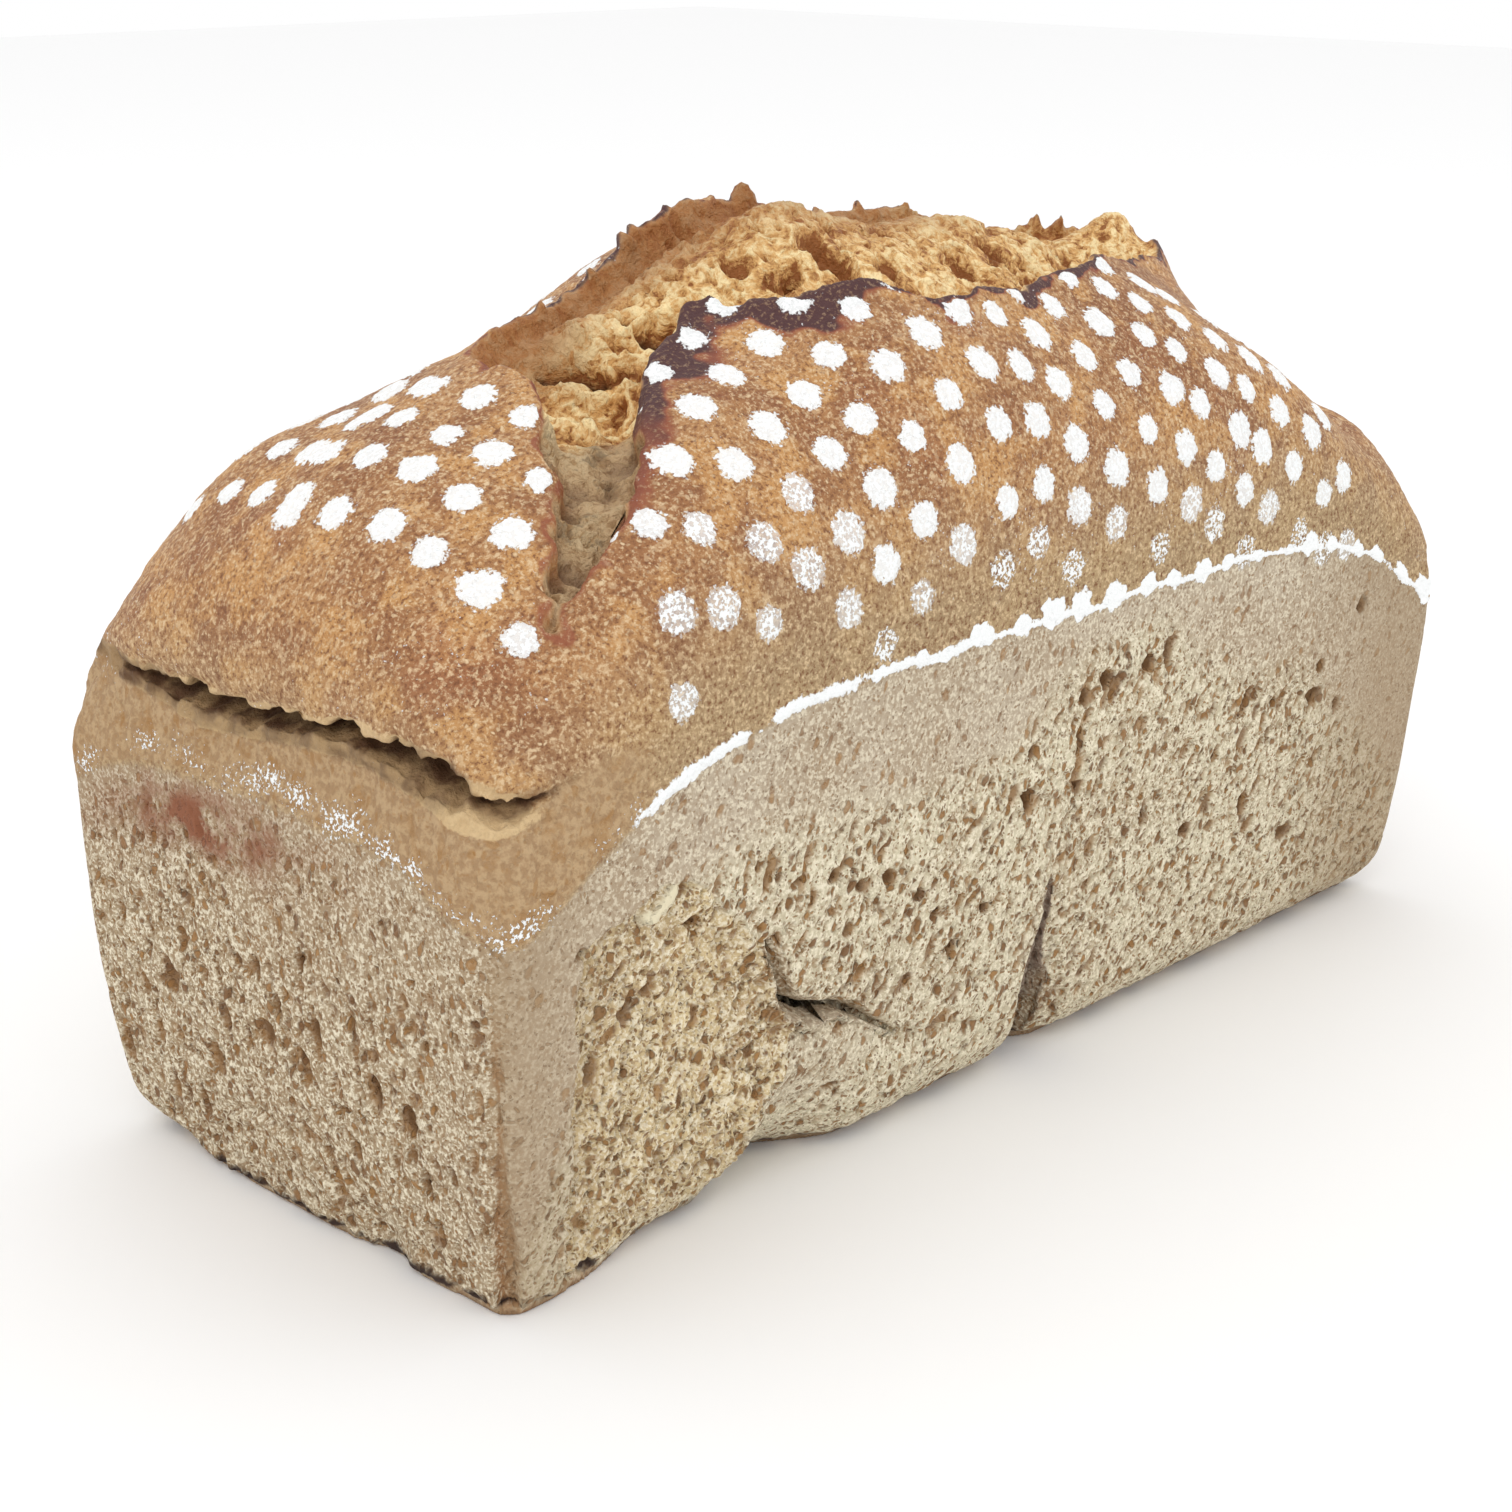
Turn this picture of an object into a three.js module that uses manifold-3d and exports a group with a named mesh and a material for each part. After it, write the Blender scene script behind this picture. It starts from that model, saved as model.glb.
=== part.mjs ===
// A whole tin loaf of sprouted grain bread: straight walls where the dough lay against
// the tin, a tall domed crust above them, and the tears that opened as it baked.
import * as THREE from 'three';
import { mergeVertices } from 'three/addons/utils/BufferGeometryUtils.js';
import Module from 'manifold-3d';

const wasm = await Module();
wasm.setup();

// Millimetres. X runs along the loaf, Z is up, and the loaf rests on z = 0.
const loafLength = 276;                     // over the end walls, at the tin's rim
const loafWidth = 116;                      // over the side walls, at the tin's rim
const wallTaper = { base: 6, leftPower: 2.2, rightPower: 1.3 };  // how far each wall leans in at the base
const cornerRadius = { base: 5, rim: 8 };   // the upright edges
const baseRound = { front: 12, back: 8, left: 1.5, right: 6, nearCorner: 1.5, farCorner: 9 };  // bottom edges
const baseTurn = { nearCorner: [90, 125], farCorner: [20, 50] };  // where those edges change
const rimHeight = { corner: 64, end: 76, side: 91, sideCorner: 66, sideCentre: 3 };  // where the walls stop
const rimPower = { side: 5, end: 4, blend: 8 };
const wallRipple = { depth: 0.7, size: 24, fade: [80, 100] };
const flatEdge = { end: 0.8, side: 0.55 };  // how near its edge a wall is moved in full

// Height of the crown along the loaf, as full as if the dome ran on past its ends.
const crownStations = [-138, -110, -60, -20, 30, 80, 115, 138];
const crownHeights = [142, 146, 150.5, 162.5, 156.5, 149, 126.5, 120];
const leftEnd = { power: 2.4, root: 3.8 };
const rightEnd = { power: 4.2, root: 4.2 };
const flank = { power: 1.5, root: 3 };
const shoulder = 0.97;                      // where the walls' rows meet the crown's grid
const crustRipple = { height: 0.9, size: 17, fade: 0.06 };
// Broad swells and dents of the dome: where, how high, how long and how wide.
const swells = [
  { x: 90, y: -32, height: -6.5, long: 18, wide: 16 },
  { x: 119, y: -43, height: 3, long: 10, wide: 12 },
  { x: -70, y: 30, height: -3.5, long: 14, wide: 16 },
  { x: -106, y: 36, height: 3.5, long: 14, wide: 14 },
];
const halves = [-0.3, 0.3];                 // where the left end's form turns into the right end's

// The burst along the crown, from its near lip to its far lip.
const nearLip = {
  x: [-88, -70, -60, -53, -49, -44, -38, -28, -14, 6, 28, 55, 80, 98],
  y: [-3, -20, -17.5, -12, -13, -21, -26.5, -29.5, -36.5, -35.5, -31.5, -23.6, -15, -6],
};
const farLip = { x: [-88, -72, -55, -30, 0, 30, 62, 98], y: [4, 10, 14, 17, 19, 20, 17, 4] };
const burst = {
  leftEnd: [-92, -74], rightEnd: [84, 100],
  nearWall: [0, 0.12], farWall: [0.9, 1],   // shares of the way from lip to lip
  valley: 8, valleyRise: [0.1, 0.62], farDip: 2.8, farDipRise: [0.75, 0.88],
  nearCurl: 1.5, farCurl: 2.5, curlWidth: 3,
  crag: 3.6, cragSize: 9, flake: 3, flakeSize: 7, flakeWidth: 2.5,
};
const endRise = { x: 91, y: -4, height: 11, long: 12, wide: 8 };  // the crest at the burst's right end

// The slanting tear from the burst down to the near left corner.
const slantTear = [
  { x: -74, y: -6, half: 12, depth: 8 },
  { x: -78, y: -16, half: 10, depth: 8 },
  { x: -88, y: -28, half: 8, depth: 6.5 },
  { x: -97, y: -37, half: 6, depth: 5 },
  { x: -106, y: -42, half: 3, depth: 3 },
  { x: -113, y: -45, half: 1, depth: 1 },
];

const slantFloor = 0.55;                    // the flat share of that tear's half width

// The tear along the left end, under the overhanging crust, and round the near corner.
const endTear = [
  { x: -139, y: 50, z: 92, gap: 0.6, depth: 5 },
  { x: -139, y: 40, z: 90.5, gap: 1.6, depth: 9 },
  { x: -139, y: 27, z: 89.5, gap: 2.0, depth: 12 },
  { x: -139, y: 16, z: 89, gap: 3.4, depth: 15 },
  { x: -139, y: 2, z: 89.5, gap: 2.6, depth: 15 },
  { x: -139, y: -13, z: 91, gap: 2.2, depth: 14 },
  { x: -139, y: -26, z: 92, gap: 3.2, depth: 15 },
  { x: -139, y: -38, z: 90.5, gap: 3.6, depth: 16 },
  { x: -138, y: -47, z: 88, gap: 3.6, depth: 15 },
  { x: -134, y: -55, z: 86, gap: 2.4, depth: 11 },
  { x: -127, y: -58.5, z: 87, gap: 1.4, depth: 7 },
  { x: -118, y: -59, z: 89.5, gap: 0.9, depth: 4 },
  { x: -108, y: -59, z: 91.5, gap: 0.4, depth: 2 },
];
// How far the skin under that tear draws in, over which heights, and from where across the end.
const band = { inset: 2.4, from: [74, 88], to: [90, 96], across: [-57, -40] };
const cornerTurn = [-138, -124];            // where the end tear turns round the near corner
const tearRise = 0.15;

// Folds where the dough lapped over itself against the near wall.
const fold = [
  { x: -78, y: -57, z: 51, gap: 0.8, depth: 3 },
  { x: -74, y: -57, z: 44, gap: 1.6, depth: 6 },
  { x: -70, y: -57, z: 37, gap: 2.2, depth: 8 },
  { x: -64, y: -57, z: 33.4, gap: 2.3, depth: 8 },
  { x: -56, y: -57, z: 31.4, gap: 1.6, depth: 8 },
  { x: -48, y: -57, z: 26, gap: 1.0, depth: 6 },
  { x: -40, y: -57, z: 21, gap: 0.7, depth: 4 },
  { x: -16, y: -57, z: 15, gap: 0.4, depth: 2 },
];
const notch = [
  { x: 1, y: -56, z: 40, gap: 0.6, depth: 3 },
  { x: 2, y: -55, z: 30, gap: 2.2, depth: 8 },
  { x: 4, y: -49.5, z: 15, gap: 3.6, depth: 10 },
  { x: 4.5, y: -45, z: 4, gap: 4.2, depth: 10 },
  { x: 5, y: -40, z: -4, gap: 4.6, depth: 10 },
];
const bladeClear = 6;                       // how far a tear's outer edge stands off the crust

// Soft hollows in the near wall: where, how wide, how high, how deep.
const nearHollows = [
  { x: -66, z: 0, wide: 21, high: 24, depth: 10 },
  { x: -90, z: 42, wide: 26, high: 24, depth: 2.2 },
  { x: 4, z: 8, wide: 10, high: 34, depth: 5 },
];
const endHollows = [{ y: -21, z: 4, wide: 10, high: 9, depth: 2.5 }];

const underTrim = 3;                        // trimmed off so that the base is one flat face
const gridCells = { along: 80, across: 32, up: 12 };

const halfLength = loafLength / 2;
const halfWidth = loafWidth / 2;

function clamp(value, low, high) {
  return Math.min(high, Math.max(low, value));
}

function ramp(low, high, value) {
  const t = clamp((value - low) / (high - low), 0, 1);
  return t * t * (3 - 2 * t);
}

// A curve through stations, with no overshoot between them.
function along(stations, values, x) {
  if (x <= stations[0]) return values[0];
  for (let i = 1; i < stations.length; i += 1) {
    if (x <= stations[i]) {
      const t = ramp(stations[i - 1], stations[i], x);
      return values[i - 1] + (values[i] - values[i - 1]) * t;
    }
  }
  return values[values.length - 1];
}

function cellValue(i, j, k) {
  const s = Math.sin(i * 127.1 + j * 311.7 + k * 74.7) * 43758.5453;
  return s - Math.floor(s);
}

// Smooth unevenness between -1 and 1 over cells of the given size.
function uneven(x, y, z, size) {
  const [i, j, k] = [Math.floor(x / size), Math.floor(y / size), Math.floor(z / size)];
  const [u, v, w] = [ramp(0, 1, x / size - i), ramp(0, 1, y / size - j), ramp(0, 1, z / size - k)];
  let sum = 0;
  for (let corner = 0; corner < 8; corner += 1) {
    const [a, b, c] = [corner & 1, (corner >> 1) & 1, corner >> 2];
    const weight = (a ? u : 1 - u) * (b ? v : 1 - v) * (c ? w : 1 - w);
    sum += weight * cellValue(i + a, j + b, k + c);
  }
  return 2 * sum - 1;
}

function sideRim(x) {
  const reach = clamp(Math.abs((x - rimHeight.sideCentre) / (halfLength - rimHeight.sideCentre)), 0, 1);
  return rimHeight.sideCorner + (rimHeight.side - rimHeight.sideCorner) * (1 - reach ** rimPower.side);
}

function endRim(y) {
  const reach = clamp(Math.abs(y / halfWidth), 0, 1);
  return rimHeight.corner + (rimHeight.end - rimHeight.corner) * (1 - reach ** rimPower.end);
}

// The mark that the tin's rim left all round.
function rimAt(u, v) {
  const [a, b] = [Math.abs(u) ** rimPower.blend, Math.abs(v) ** rimPower.blend];
  const endShare = a / (a + b + 1e-9);
  return sideRim(u * halfLength) * (1 - endShare) + endRim(v * halfWidth) * endShare;
}

// The plain dome before it burst: u and v run from -1 to 1 along and across the loaf.
function domeHeight(u, v) {
  const rightShare = ramp(...halves, u);
  const left = (1 - Math.abs(u) ** leftEnd.power) ** (1 / leftEnd.root);
  const right = (1 - Math.abs(u) ** rightEnd.power) ** (1 / rightEnd.root);
  const lengthwise = left * (1 - rightShare) + right * rightShare;
  const across = (1 - Math.abs(v) ** flank.power) ** (1 / flank.root);
  const rim = rimAt(u, v);
  return rim + (along(crownStations, crownHeights, u * halfLength) - rim) * lengthwise * across;
}

// Rounds the plan's four corners.
function plan(u, v, halfX, halfY, radius) {
  const qx = clamp((Math.abs(u * halfX) - (halfX - radius)) / radius, 0, 1);
  const qy = clamp((Math.abs(v * halfY) - (halfY - radius)) / radius, 0, 1);
  const x = Math.min(Math.abs(u * halfX), halfX - radius) + radius * qx * Math.sqrt(1 - qy * qy / 2);
  const y = Math.min(Math.abs(v * halfY), halfY - radius) + radius * qy * Math.sqrt(1 - qx * qx / 2);
  return [Math.sign(u) * x, Math.sign(v) * y];
}

// How far a rounded bottom edge draws the wall in at height z.
function edgeInset(z, radius) {
  const t = clamp(1 - z / radius, 0, 1);
  return radius * (1 - Math.sqrt(1 - t * t));
}

function hollowDepth(hollows, key, place, z) {
  let depth = 0;
  for (const hollow of hollows) {
    const r = Math.hypot((place - hollow[key]) / hollow.wide, (z - hollow.z) / hollow.high);
    depth += hollow.depth * (1 - ramp(0, 1, r));
  }
  return depth;
}

// A point on the walls: (u, v) on the edge of the unit square, at height z.
function wallPoint(u, v, z, scale) {
  const rise = clamp(z / rimHeight.corner, 0, 1);
  const lean = wallTaper.base * (1 - rise) ** (u < 0 ? wallTaper.leftPower : wallTaper.rightPower);
  const halfX = halfLength - lean;
  const halfY = halfWidth - lean;
  const radius = cornerRadius.base + (cornerRadius.rim - cornerRadius.base) * rise;
  let [x, y] = plan(u * scale, v * scale, halfX, halfY, radius);
  const roughness = 0.5 + 0.5 * uneven(x, y, z, wallRipple.size);
  const ripple = wallRipple.depth * roughness * (1 - ramp(...wallRipple.fade, z));
  const nearCorner = ramp(...baseTurn.nearCorner, -x);
  const farCorner = ramp(...baseTurn.farCorner, y);
  const frontRound = baseRound.front + (baseRound.nearCorner - baseRound.front) * nearCorner;
  const leftRound = baseRound.left + (baseRound.farCorner - baseRound.left) * farCorner;
  let inX = ripple + edgeInset(z, u < 0 ? leftRound : baseRound.right);
  let inY = ripple + edgeInset(z, v < 0 ? frontRound : baseRound.back);
  if (u < 0) inX += hollowDepth(endHollows, 'y', y, z);
  if (u < 0) inX += band.inset * ramp(...band.from, z) * (1 - ramp(...band.to, z)) * ramp(...band.across, y);
  if (v < 0) inY += hollowDepth(nearHollows, 'x', x, z);
  x -= Math.sign(u) * inX * ramp(flatEdge.end, 1, Math.abs(u));
  y -= Math.sign(v) * inY * ramp(flatEdge.side, 1, Math.abs(v));
  return [x, y, z];
}

// The wall rows run up past the rim to the shoulder, where the dome has turned over.
function sidePoint(u, v, w) {
  const top = domeHeight(u * shoulder, v * shoulder);
  const z = top * w;
  const rim = rimAt(u, v);
  let low = shoulder;
  let high = 1;
  for (let step = 0; step < 24 && z > rim; step += 1) {
    const middle = (low + high) / 2;
    if (domeHeight(u * middle, v * middle) > z) low = middle;
    else high = middle;
  }
  return wallPoint(u, v, z, z > rim ? (low + high) / 2 : 1);
}

// A ridge 1 high on a line, falling away over the given width.
function ridge(away, width) {
  return Math.exp(-((away / width) ** 2));
}

function swellAt(swell, x, y) {
  return swell.height * ridge(x - swell.x, swell.long) * ridge(y - swell.y, swell.wide);
}

// How the burst reshapes the crown at a place on top.
function burstRelief(x, y) {
  const near = along(nearLip.x, nearLip.y, x);
  const far = along(farLip.x, farLip.y, x);
  const ends = ramp(...burst.leftEnd, x) * (1 - ramp(...burst.rightEnd, x));
  const t = (y - near) / (far - near);
  const inside = ramp(...burst.nearWall, t) * (1 - ramp(...burst.farWall, t)) * ends;
  const nearValley = burst.valley * (1 - ramp(...burst.valleyRise, t));
  const valley = nearValley + burst.farDip * ramp(...burst.farDipRise, t);
  const coarse = uneven(x, y, 0, burst.cragSize);
  const fine = uneven(x, y, burst.cragSize, burst.cragSize / 2);
  const crag = burst.crag * (0.7 * coarse + 0.5 * fine);
  const nearCurl = burst.nearCurl * ridge(y - near, burst.curlWidth);
  const farCurl = burst.farCurl * ridge(y - far, burst.curlWidth);
  const flaky = Math.max(0, uneven(x, y, 3, burst.flakeSize));
  const flakes = burst.flake * flaky * ridge(y - far, burst.flakeWidth);
  return inside * (crag - valley) + (nearCurl + farCurl + flakes) * ends + swellAt(endRise, x, y);
}

function slantRelief(x, y) {
  let relief = 0;
  for (let i = 1; i < slantTear.length; i += 1) {
    const [a, b] = [slantTear[i - 1], slantTear[i]];
    const [dx, dy] = [b.x - a.x, b.y - a.y];
    const t = clamp(((x - a.x) * dx + (y - a.y) * dy) / (dx * dx + dy * dy), 0, 1);
    const away = Math.hypot(x - a.x - t * dx, y - a.y - t * dy);
    const half = a.half + (b.half - a.half) * t;
    const depth = a.depth + (b.depth - a.depth) * t;
    relief = Math.min(relief, -depth * (1 - ramp(slantFloor, 1, away / half)));
  }
  return relief;
}

function topPoint(u, v) {
  const [x, y] = plan(u * shoulder, v * shoulder, halfLength, halfWidth, cornerRadius.rim);
  const inland = ramp(0, crustRipple.fade, 1 - Math.max(Math.abs(u), Math.abs(v)));
  let ripple = crustRipple.height * uneven(x, y, 5, crustRipple.size);
  for (const swell of swells) ripple += swellAt(swell, x, y);
  const [opened, slanting] = [burstRelief(x, y), slantRelief(x, y)];
  const sunk = Math.max(Math.min(opened, 0) + slanting, -burst.valley - burst.crag);
  const raised = slanting < -1 ? 0 : Math.max(opened, 0);
  return [x, y, domeHeight(u * shoulder, v * shoulder) + (ripple + sunk + raised) * inland];
}

// The underside, trimmed flat below.
function bottomPoint(u, v) {
  const out = Math.max(Math.abs(u), Math.abs(v), 1e-6);
  const [x, y] = wallPoint(u / out, v / out, 0, 1);
  return [x * out, y * out, -underTrim];
}

// Spreads the grid so that its rows lie closer towards the shoulders.
function spread(t) {
  return 0.6 * t + 0.4 * Math.sin(t * Math.PI / 2);
}

function formGeometry() {
  const box = new THREE.BoxGeometry(2, 2, 2, gridCells.along, gridCells.across, gridCells.up);
  const place = box.attributes.position;
  for (let i = 0; i < place.count; i += 1) {
    const u = spread(place.getX(i));
    const v = spread(place.getY(i));
    const w = (place.getZ(i) + 1) / 2;
    const point = w === 1 ? topPoint(u, v) : w === 0 ? bottomPoint(u, v) : sidePoint(u, v, w);
    place.setXYZ(i, ...point);
  }
  return box;
}

// A wedge that opens a tear: a thin diamond section carried along a route, with its outer
// point clear of the crust and its inner point at the tear's depth.
function tearGeometry(route, inward, across) {
  const blade = new THREE.CylinderGeometry(1, 1, 1, 4, route.length - 1);
  const place = blade.attributes.position;
  for (let i = 0; i < place.count; i += 1) {
    const step = route[Math.round((0.5 - place.getY(i)) * (route.length - 1))];
    const into = place.getZ(i) * (place.getZ(i) > 0 ? step.depth : bladeClear);
    const open = place.getX(i) * step.gap;
    const way = inward(step);
    place.setXYZ(
      i,
      step.x + way[0] * into + across[0] * open,
      step.y + way[1] * into + across[1] * open,
      step.z + way[2] * into + across[2] * open,
    );
  }
  return blade;
}

function solidOf(geometry) {
  geometry.deleteAttribute('normal');
  geometry.deleteAttribute('uv');
  const closed = mergeVertices(geometry, 1e-4);
  const vertProperties = new Float32Array(closed.attributes.position.array);
  const triVerts = new Uint32Array(closed.index.array);
  const solid = new wasm.Manifold(new wasm.Mesh({ numProp: 3, vertProperties, triVerts }));
  if (solid.volume() > 0) return solid;
  triVerts.reverse();
  return new wasm.Manifold(new wasm.Mesh({ numProp: 3, vertProperties, triVerts }));
}

function geometryOf(solid) {
  const mesh = solid.getMesh();
  const geometry = new THREE.BufferGeometry();
  geometry.setAttribute('position', new THREE.BufferAttribute(new Float32Array(mesh.vertProperties), 3));
  geometry.setIndex(new THREE.BufferAttribute(new Uint32Array(mesh.triVerts), 1));
  geometry.computeVertexNormals();
  return geometry;
}

// Inward directions: straight into the end wall, turning into the near wall past the corner.
function intoLeftEnd(step) {
  const turn = ramp(...cornerTurn, step.x);
  const length = Math.hypot(1 - turn, turn, tearRise);
  return [(1 - turn) / length, turn / length, tearRise / length];
}

function intoNearWall() {
  return [0, 1, 0];
}

function loafGeometry() {
  const room = new THREE.BoxGeometry(2 * loafLength, 2 * loafWidth, loafLength);
  room.translate(0, 0, loafLength / 2);
  let loaf = solidOf(formGeometry()).intersect(solidOf(room));
  loaf = loaf.subtract(solidOf(tearGeometry(endTear, intoLeftEnd, [0, 0, 1])));
  loaf = loaf.subtract(solidOf(tearGeometry(fold, intoNearWall, [Math.SQRT1_2, 0, Math.SQRT1_2])));
  loaf = loaf.subtract(solidOf(tearGeometry(notch, intoNearWall, [1, 0, 0])));
  return geometryOf(loaf);
}

const crust = new THREE.MeshStandardMaterial({ color: 0xc2945f, roughness: 0.85, metalness: 0 });
const loaf = new THREE.Mesh(loafGeometry(), crust);
loaf.name = 'loaf';

const group = new THREE.Group();
group.add(loaf);

export default group;
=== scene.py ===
# Sprouted grain tin loaf: the looks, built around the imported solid.
import math

import bpy
import numpy as np
from mathutils import Matrix, Vector


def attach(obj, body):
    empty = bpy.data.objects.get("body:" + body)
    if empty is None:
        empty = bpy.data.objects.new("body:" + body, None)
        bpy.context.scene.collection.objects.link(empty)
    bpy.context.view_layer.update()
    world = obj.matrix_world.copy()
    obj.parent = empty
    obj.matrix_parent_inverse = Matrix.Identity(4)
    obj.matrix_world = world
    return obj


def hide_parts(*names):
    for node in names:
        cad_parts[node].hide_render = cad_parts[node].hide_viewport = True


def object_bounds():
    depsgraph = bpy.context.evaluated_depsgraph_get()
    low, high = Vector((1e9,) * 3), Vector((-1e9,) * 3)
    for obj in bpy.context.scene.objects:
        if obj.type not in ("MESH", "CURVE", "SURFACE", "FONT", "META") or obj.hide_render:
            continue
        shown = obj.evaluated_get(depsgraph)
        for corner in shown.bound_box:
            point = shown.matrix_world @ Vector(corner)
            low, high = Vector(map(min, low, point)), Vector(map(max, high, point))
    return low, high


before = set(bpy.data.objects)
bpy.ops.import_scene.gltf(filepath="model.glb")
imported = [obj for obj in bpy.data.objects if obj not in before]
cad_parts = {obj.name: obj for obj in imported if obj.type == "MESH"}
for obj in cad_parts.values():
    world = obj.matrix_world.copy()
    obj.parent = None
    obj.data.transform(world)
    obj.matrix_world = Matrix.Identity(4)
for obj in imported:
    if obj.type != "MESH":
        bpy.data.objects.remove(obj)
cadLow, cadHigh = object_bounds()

mm = 0.001      # everything is worked out in millimetres and turned to metres at the end


def unit(value):
    # kept from 0 to 1
    return np.clip(value, 0, 1)


def ramp(low, high, value):
    t = unit((value - low) / (high - low))
    return t * t * (3 - 2 * t)


def hump(off, width):
    # 1 in the middle, fading away over a width
    return np.exp(-(off / width) ** 2)


def along(stations, values, x):
    # a smooth curve through stations, flat at each of them
    stations = np.asarray(stations, float)
    values = np.asarray(values, float)
    i = np.clip(np.searchsorted(stations, x) - 1, 0, len(stations) - 2)
    t = ramp(0, 1, (x - stations[i]) / (stations[i + 1] - stations[i]))
    return values[i] + (values[i + 1] - values[i]) * t


def cellValue(i, j, k, seed=0):
    # one steady number from 0 to 1 for each cell of a grid
    mixed = (i * 374761393 + j * 668265263 + k * 1440662683 + seed * 974634777) & 0xffffffff
    mixed = ((mixed ^ (mixed >> 13)) * 1274126177) & 0xffffffff
    mixed = ((mixed ^ (mixed >> 15)) * 2246822519) & 0xffffffff
    return ((mixed ^ (mixed >> 16)) & 0xffffff) / 16777216.0


def uneven(places, cell, seed=0, stretch=(1, 1, 1)):
    # smooth unevenness from -1 to 1 over cells of a size
    scaled = places / (np.array(stretch, float) * cell)
    base = np.floor(scaled).astype(np.int64)
    f = scaled - base
    f = f * f * (3 - 2 * f)
    total = np.zeros(len(places))
    for corner in range(8):
        a, b, c = corner & 1, (corner >> 1) & 1, corner >> 2
        weight = ((f[:, 0] if a else 1 - f[:, 0]) * (f[:, 1] if b else 1 - f[:, 1])
                  * (f[:, 2] if c else 1 - f[:, 2]))
        total += weight * cellValue(base[:, 0] + a, base[:, 1] + b, base[:, 2] + c, seed)
    return 2 * total - 1


def octaves(places, cell, seed=0, stretch=(1, 1, 1), layers=3):
    total, strength, whole = np.zeros(len(places)), 1.0, 0.0
    for layer in range(layers):
        total += strength * uneven(places, cell / 2 ** layer, seed + 11 * layer, stretch)
        whole += strength
        strength *= 0.55
    return total / whole


def bubbles(places, inward, pits, seed, stretch, where):
    # how deep round gas cells cut into the surface, as a ray along inward would find
    cell, size, share = pits["cell"], pits["size"], pits["share"]
    scale = 1 / (np.array(stretch, float) * cell)
    p, d = places[where] * scale, inward[where] * scale
    base = np.floor(p).astype(np.int64)
    a = (d * d).sum(1)
    deepest = np.zeros(len(p))
    for corner in range(27):
        step = np.array([corner % 3 - 1, corner // 3 % 3 - 1, corner // 9 - 1])
        i, j, k = (base + step).T
        radius = size[0] + (size[1] - size[0]) * cellValue(i, j, k, seed + 4) ** 2
        radius = np.where(cellValue(i, j, k, seed + 5) < share, radius / cell, 0)
        off = p - (base + step) - np.stack([cellValue(i, j, k, seed + n) for n in (1, 2, 3)], 1)
        b = (d * off).sum(1)
        c = (off * off).sum(1) - radius ** 2
        inside = c < 0
        deep = (-b[inside] + np.sqrt(b[inside] ** 2 - a[inside] * c[inside])) / a[inside]
        fromRim = (radius[inside] - np.sqrt((off[inside] ** 2).sum(1))) * cell
        deep = np.minimum(deep, 2.6 * fromRim)
        deepest[inside] = np.maximum(deepest[inside], deep)
    whole = np.zeros(len(places))
    whole[where] = np.minimum(deepest, pits["deepest"])
    return whole


def routeNear(places, route, keys):
    # nearest distance to a route, and the route's own values there; keys names its coordinates
    points = np.array([step[:len(keys)] for step in route], float)
    values = np.array([step[len(keys):] for step in route], float)
    best = np.full(len(places), 1e9)
    found = np.zeros((len(places), values.shape[1]))
    for a, b, va, vb in zip(points[:-1], points[1:], values[:-1], values[1:]):
        run = b - a
        t = unit(((places - a) @ run) / (run @ run))
        off = places - a - t[:, None] * run
        away = np.sqrt((off * off).sum(1))
        closer = away < best
        best[closer] = away[closer]
        found[closer] = (va + (vb - va) * t[:, None])[closer]
    return best, found


def setMode(mode):
    bpy.ops.object.mode_set(mode=mode)


def deselectAll():
    if bpy.context.object and bpy.context.object.mode != "OBJECT":
        setMode("OBJECT")
    bpy.ops.object.select_all(action="DESELECT")


def pickOnly(piece):
    deselectAll()
    piece.select_set(True)
    bpy.context.view_layer.objects.active = piece


def applyModifiers(piece):
    pickOnly(piece)
    for modifier in list(piece.modifiers):
        bpy.ops.object.modifier_apply(modifier=modifier.name)


def placesOf(piece):
    places = np.empty(len(piece.data.vertices) * 3)
    piece.data.vertices.foreach_get("co", places)
    return places.reshape(-1, 3)


def putPlaces(piece, places):
    piece.data.vertices.foreach_set("co", np.ascontiguousarray(places, float).ravel())
    piece.data.update()


def outwardOf(piece):
    outward = np.empty(len(piece.data.vertices) * 3, np.float32)
    piece.data.vertex_normals.foreach_get("vector", outward)
    return outward.reshape(-1, 3).astype(float)


# the loaf's plain form, as in the solid
loafForm = {
    "length": 276, "width": 116, "wallTaper": 6,
    "cornerBase": 5, "cornerRim": 8,
    "rimCorner": 64, "rimEnd": 76, "rimSide": 91,
    "wallRipple": 0.7, "crustRipple": 0.9, "bandInset": 2.4,
    "crownStations": [-138, -110, -60, -20, 30, 80, 115, 138],
    "crownHeights": [142, 146, 150.5, 162.5, 156.5, 149, 126.5, 120],
    # the dome's outlines, as powers: (1 - reach ** first) ** (1 / second)
    "leftEnd": (2.4, 3.8), "rightEnd": (4.2, 4.2), "flank": (1.5, 3), "shoulder": 0.97,
    # x, y, height, length and width of the dome's broad rises and dents
    "swells": [(90, -32, -6.5, 18, 16), (119, -43, 3, 10, 12), (-70, 30, -3.5, 14, 16),
               (-106, 36, 3.5, 14, 14)],
    # x, z, wide, high, deep of the soft hollows in the near wall; y, z in the end wall
    "nearHollows": [(-66, 0, 21, 24, 10), (-90, 42, 26, 24, 2.2), (4, 8, 10, 34, 5)],
    "endHollows": [(-21, 4, 10, 9, 2.5)],
    # how round the edges along the base are
    "nearFoot": (1.5, 12), "farFoot": 8, "leftFoot": (1.5, 9), "rightFoot": 6,
    "gridCuts": 90,
}
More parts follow.
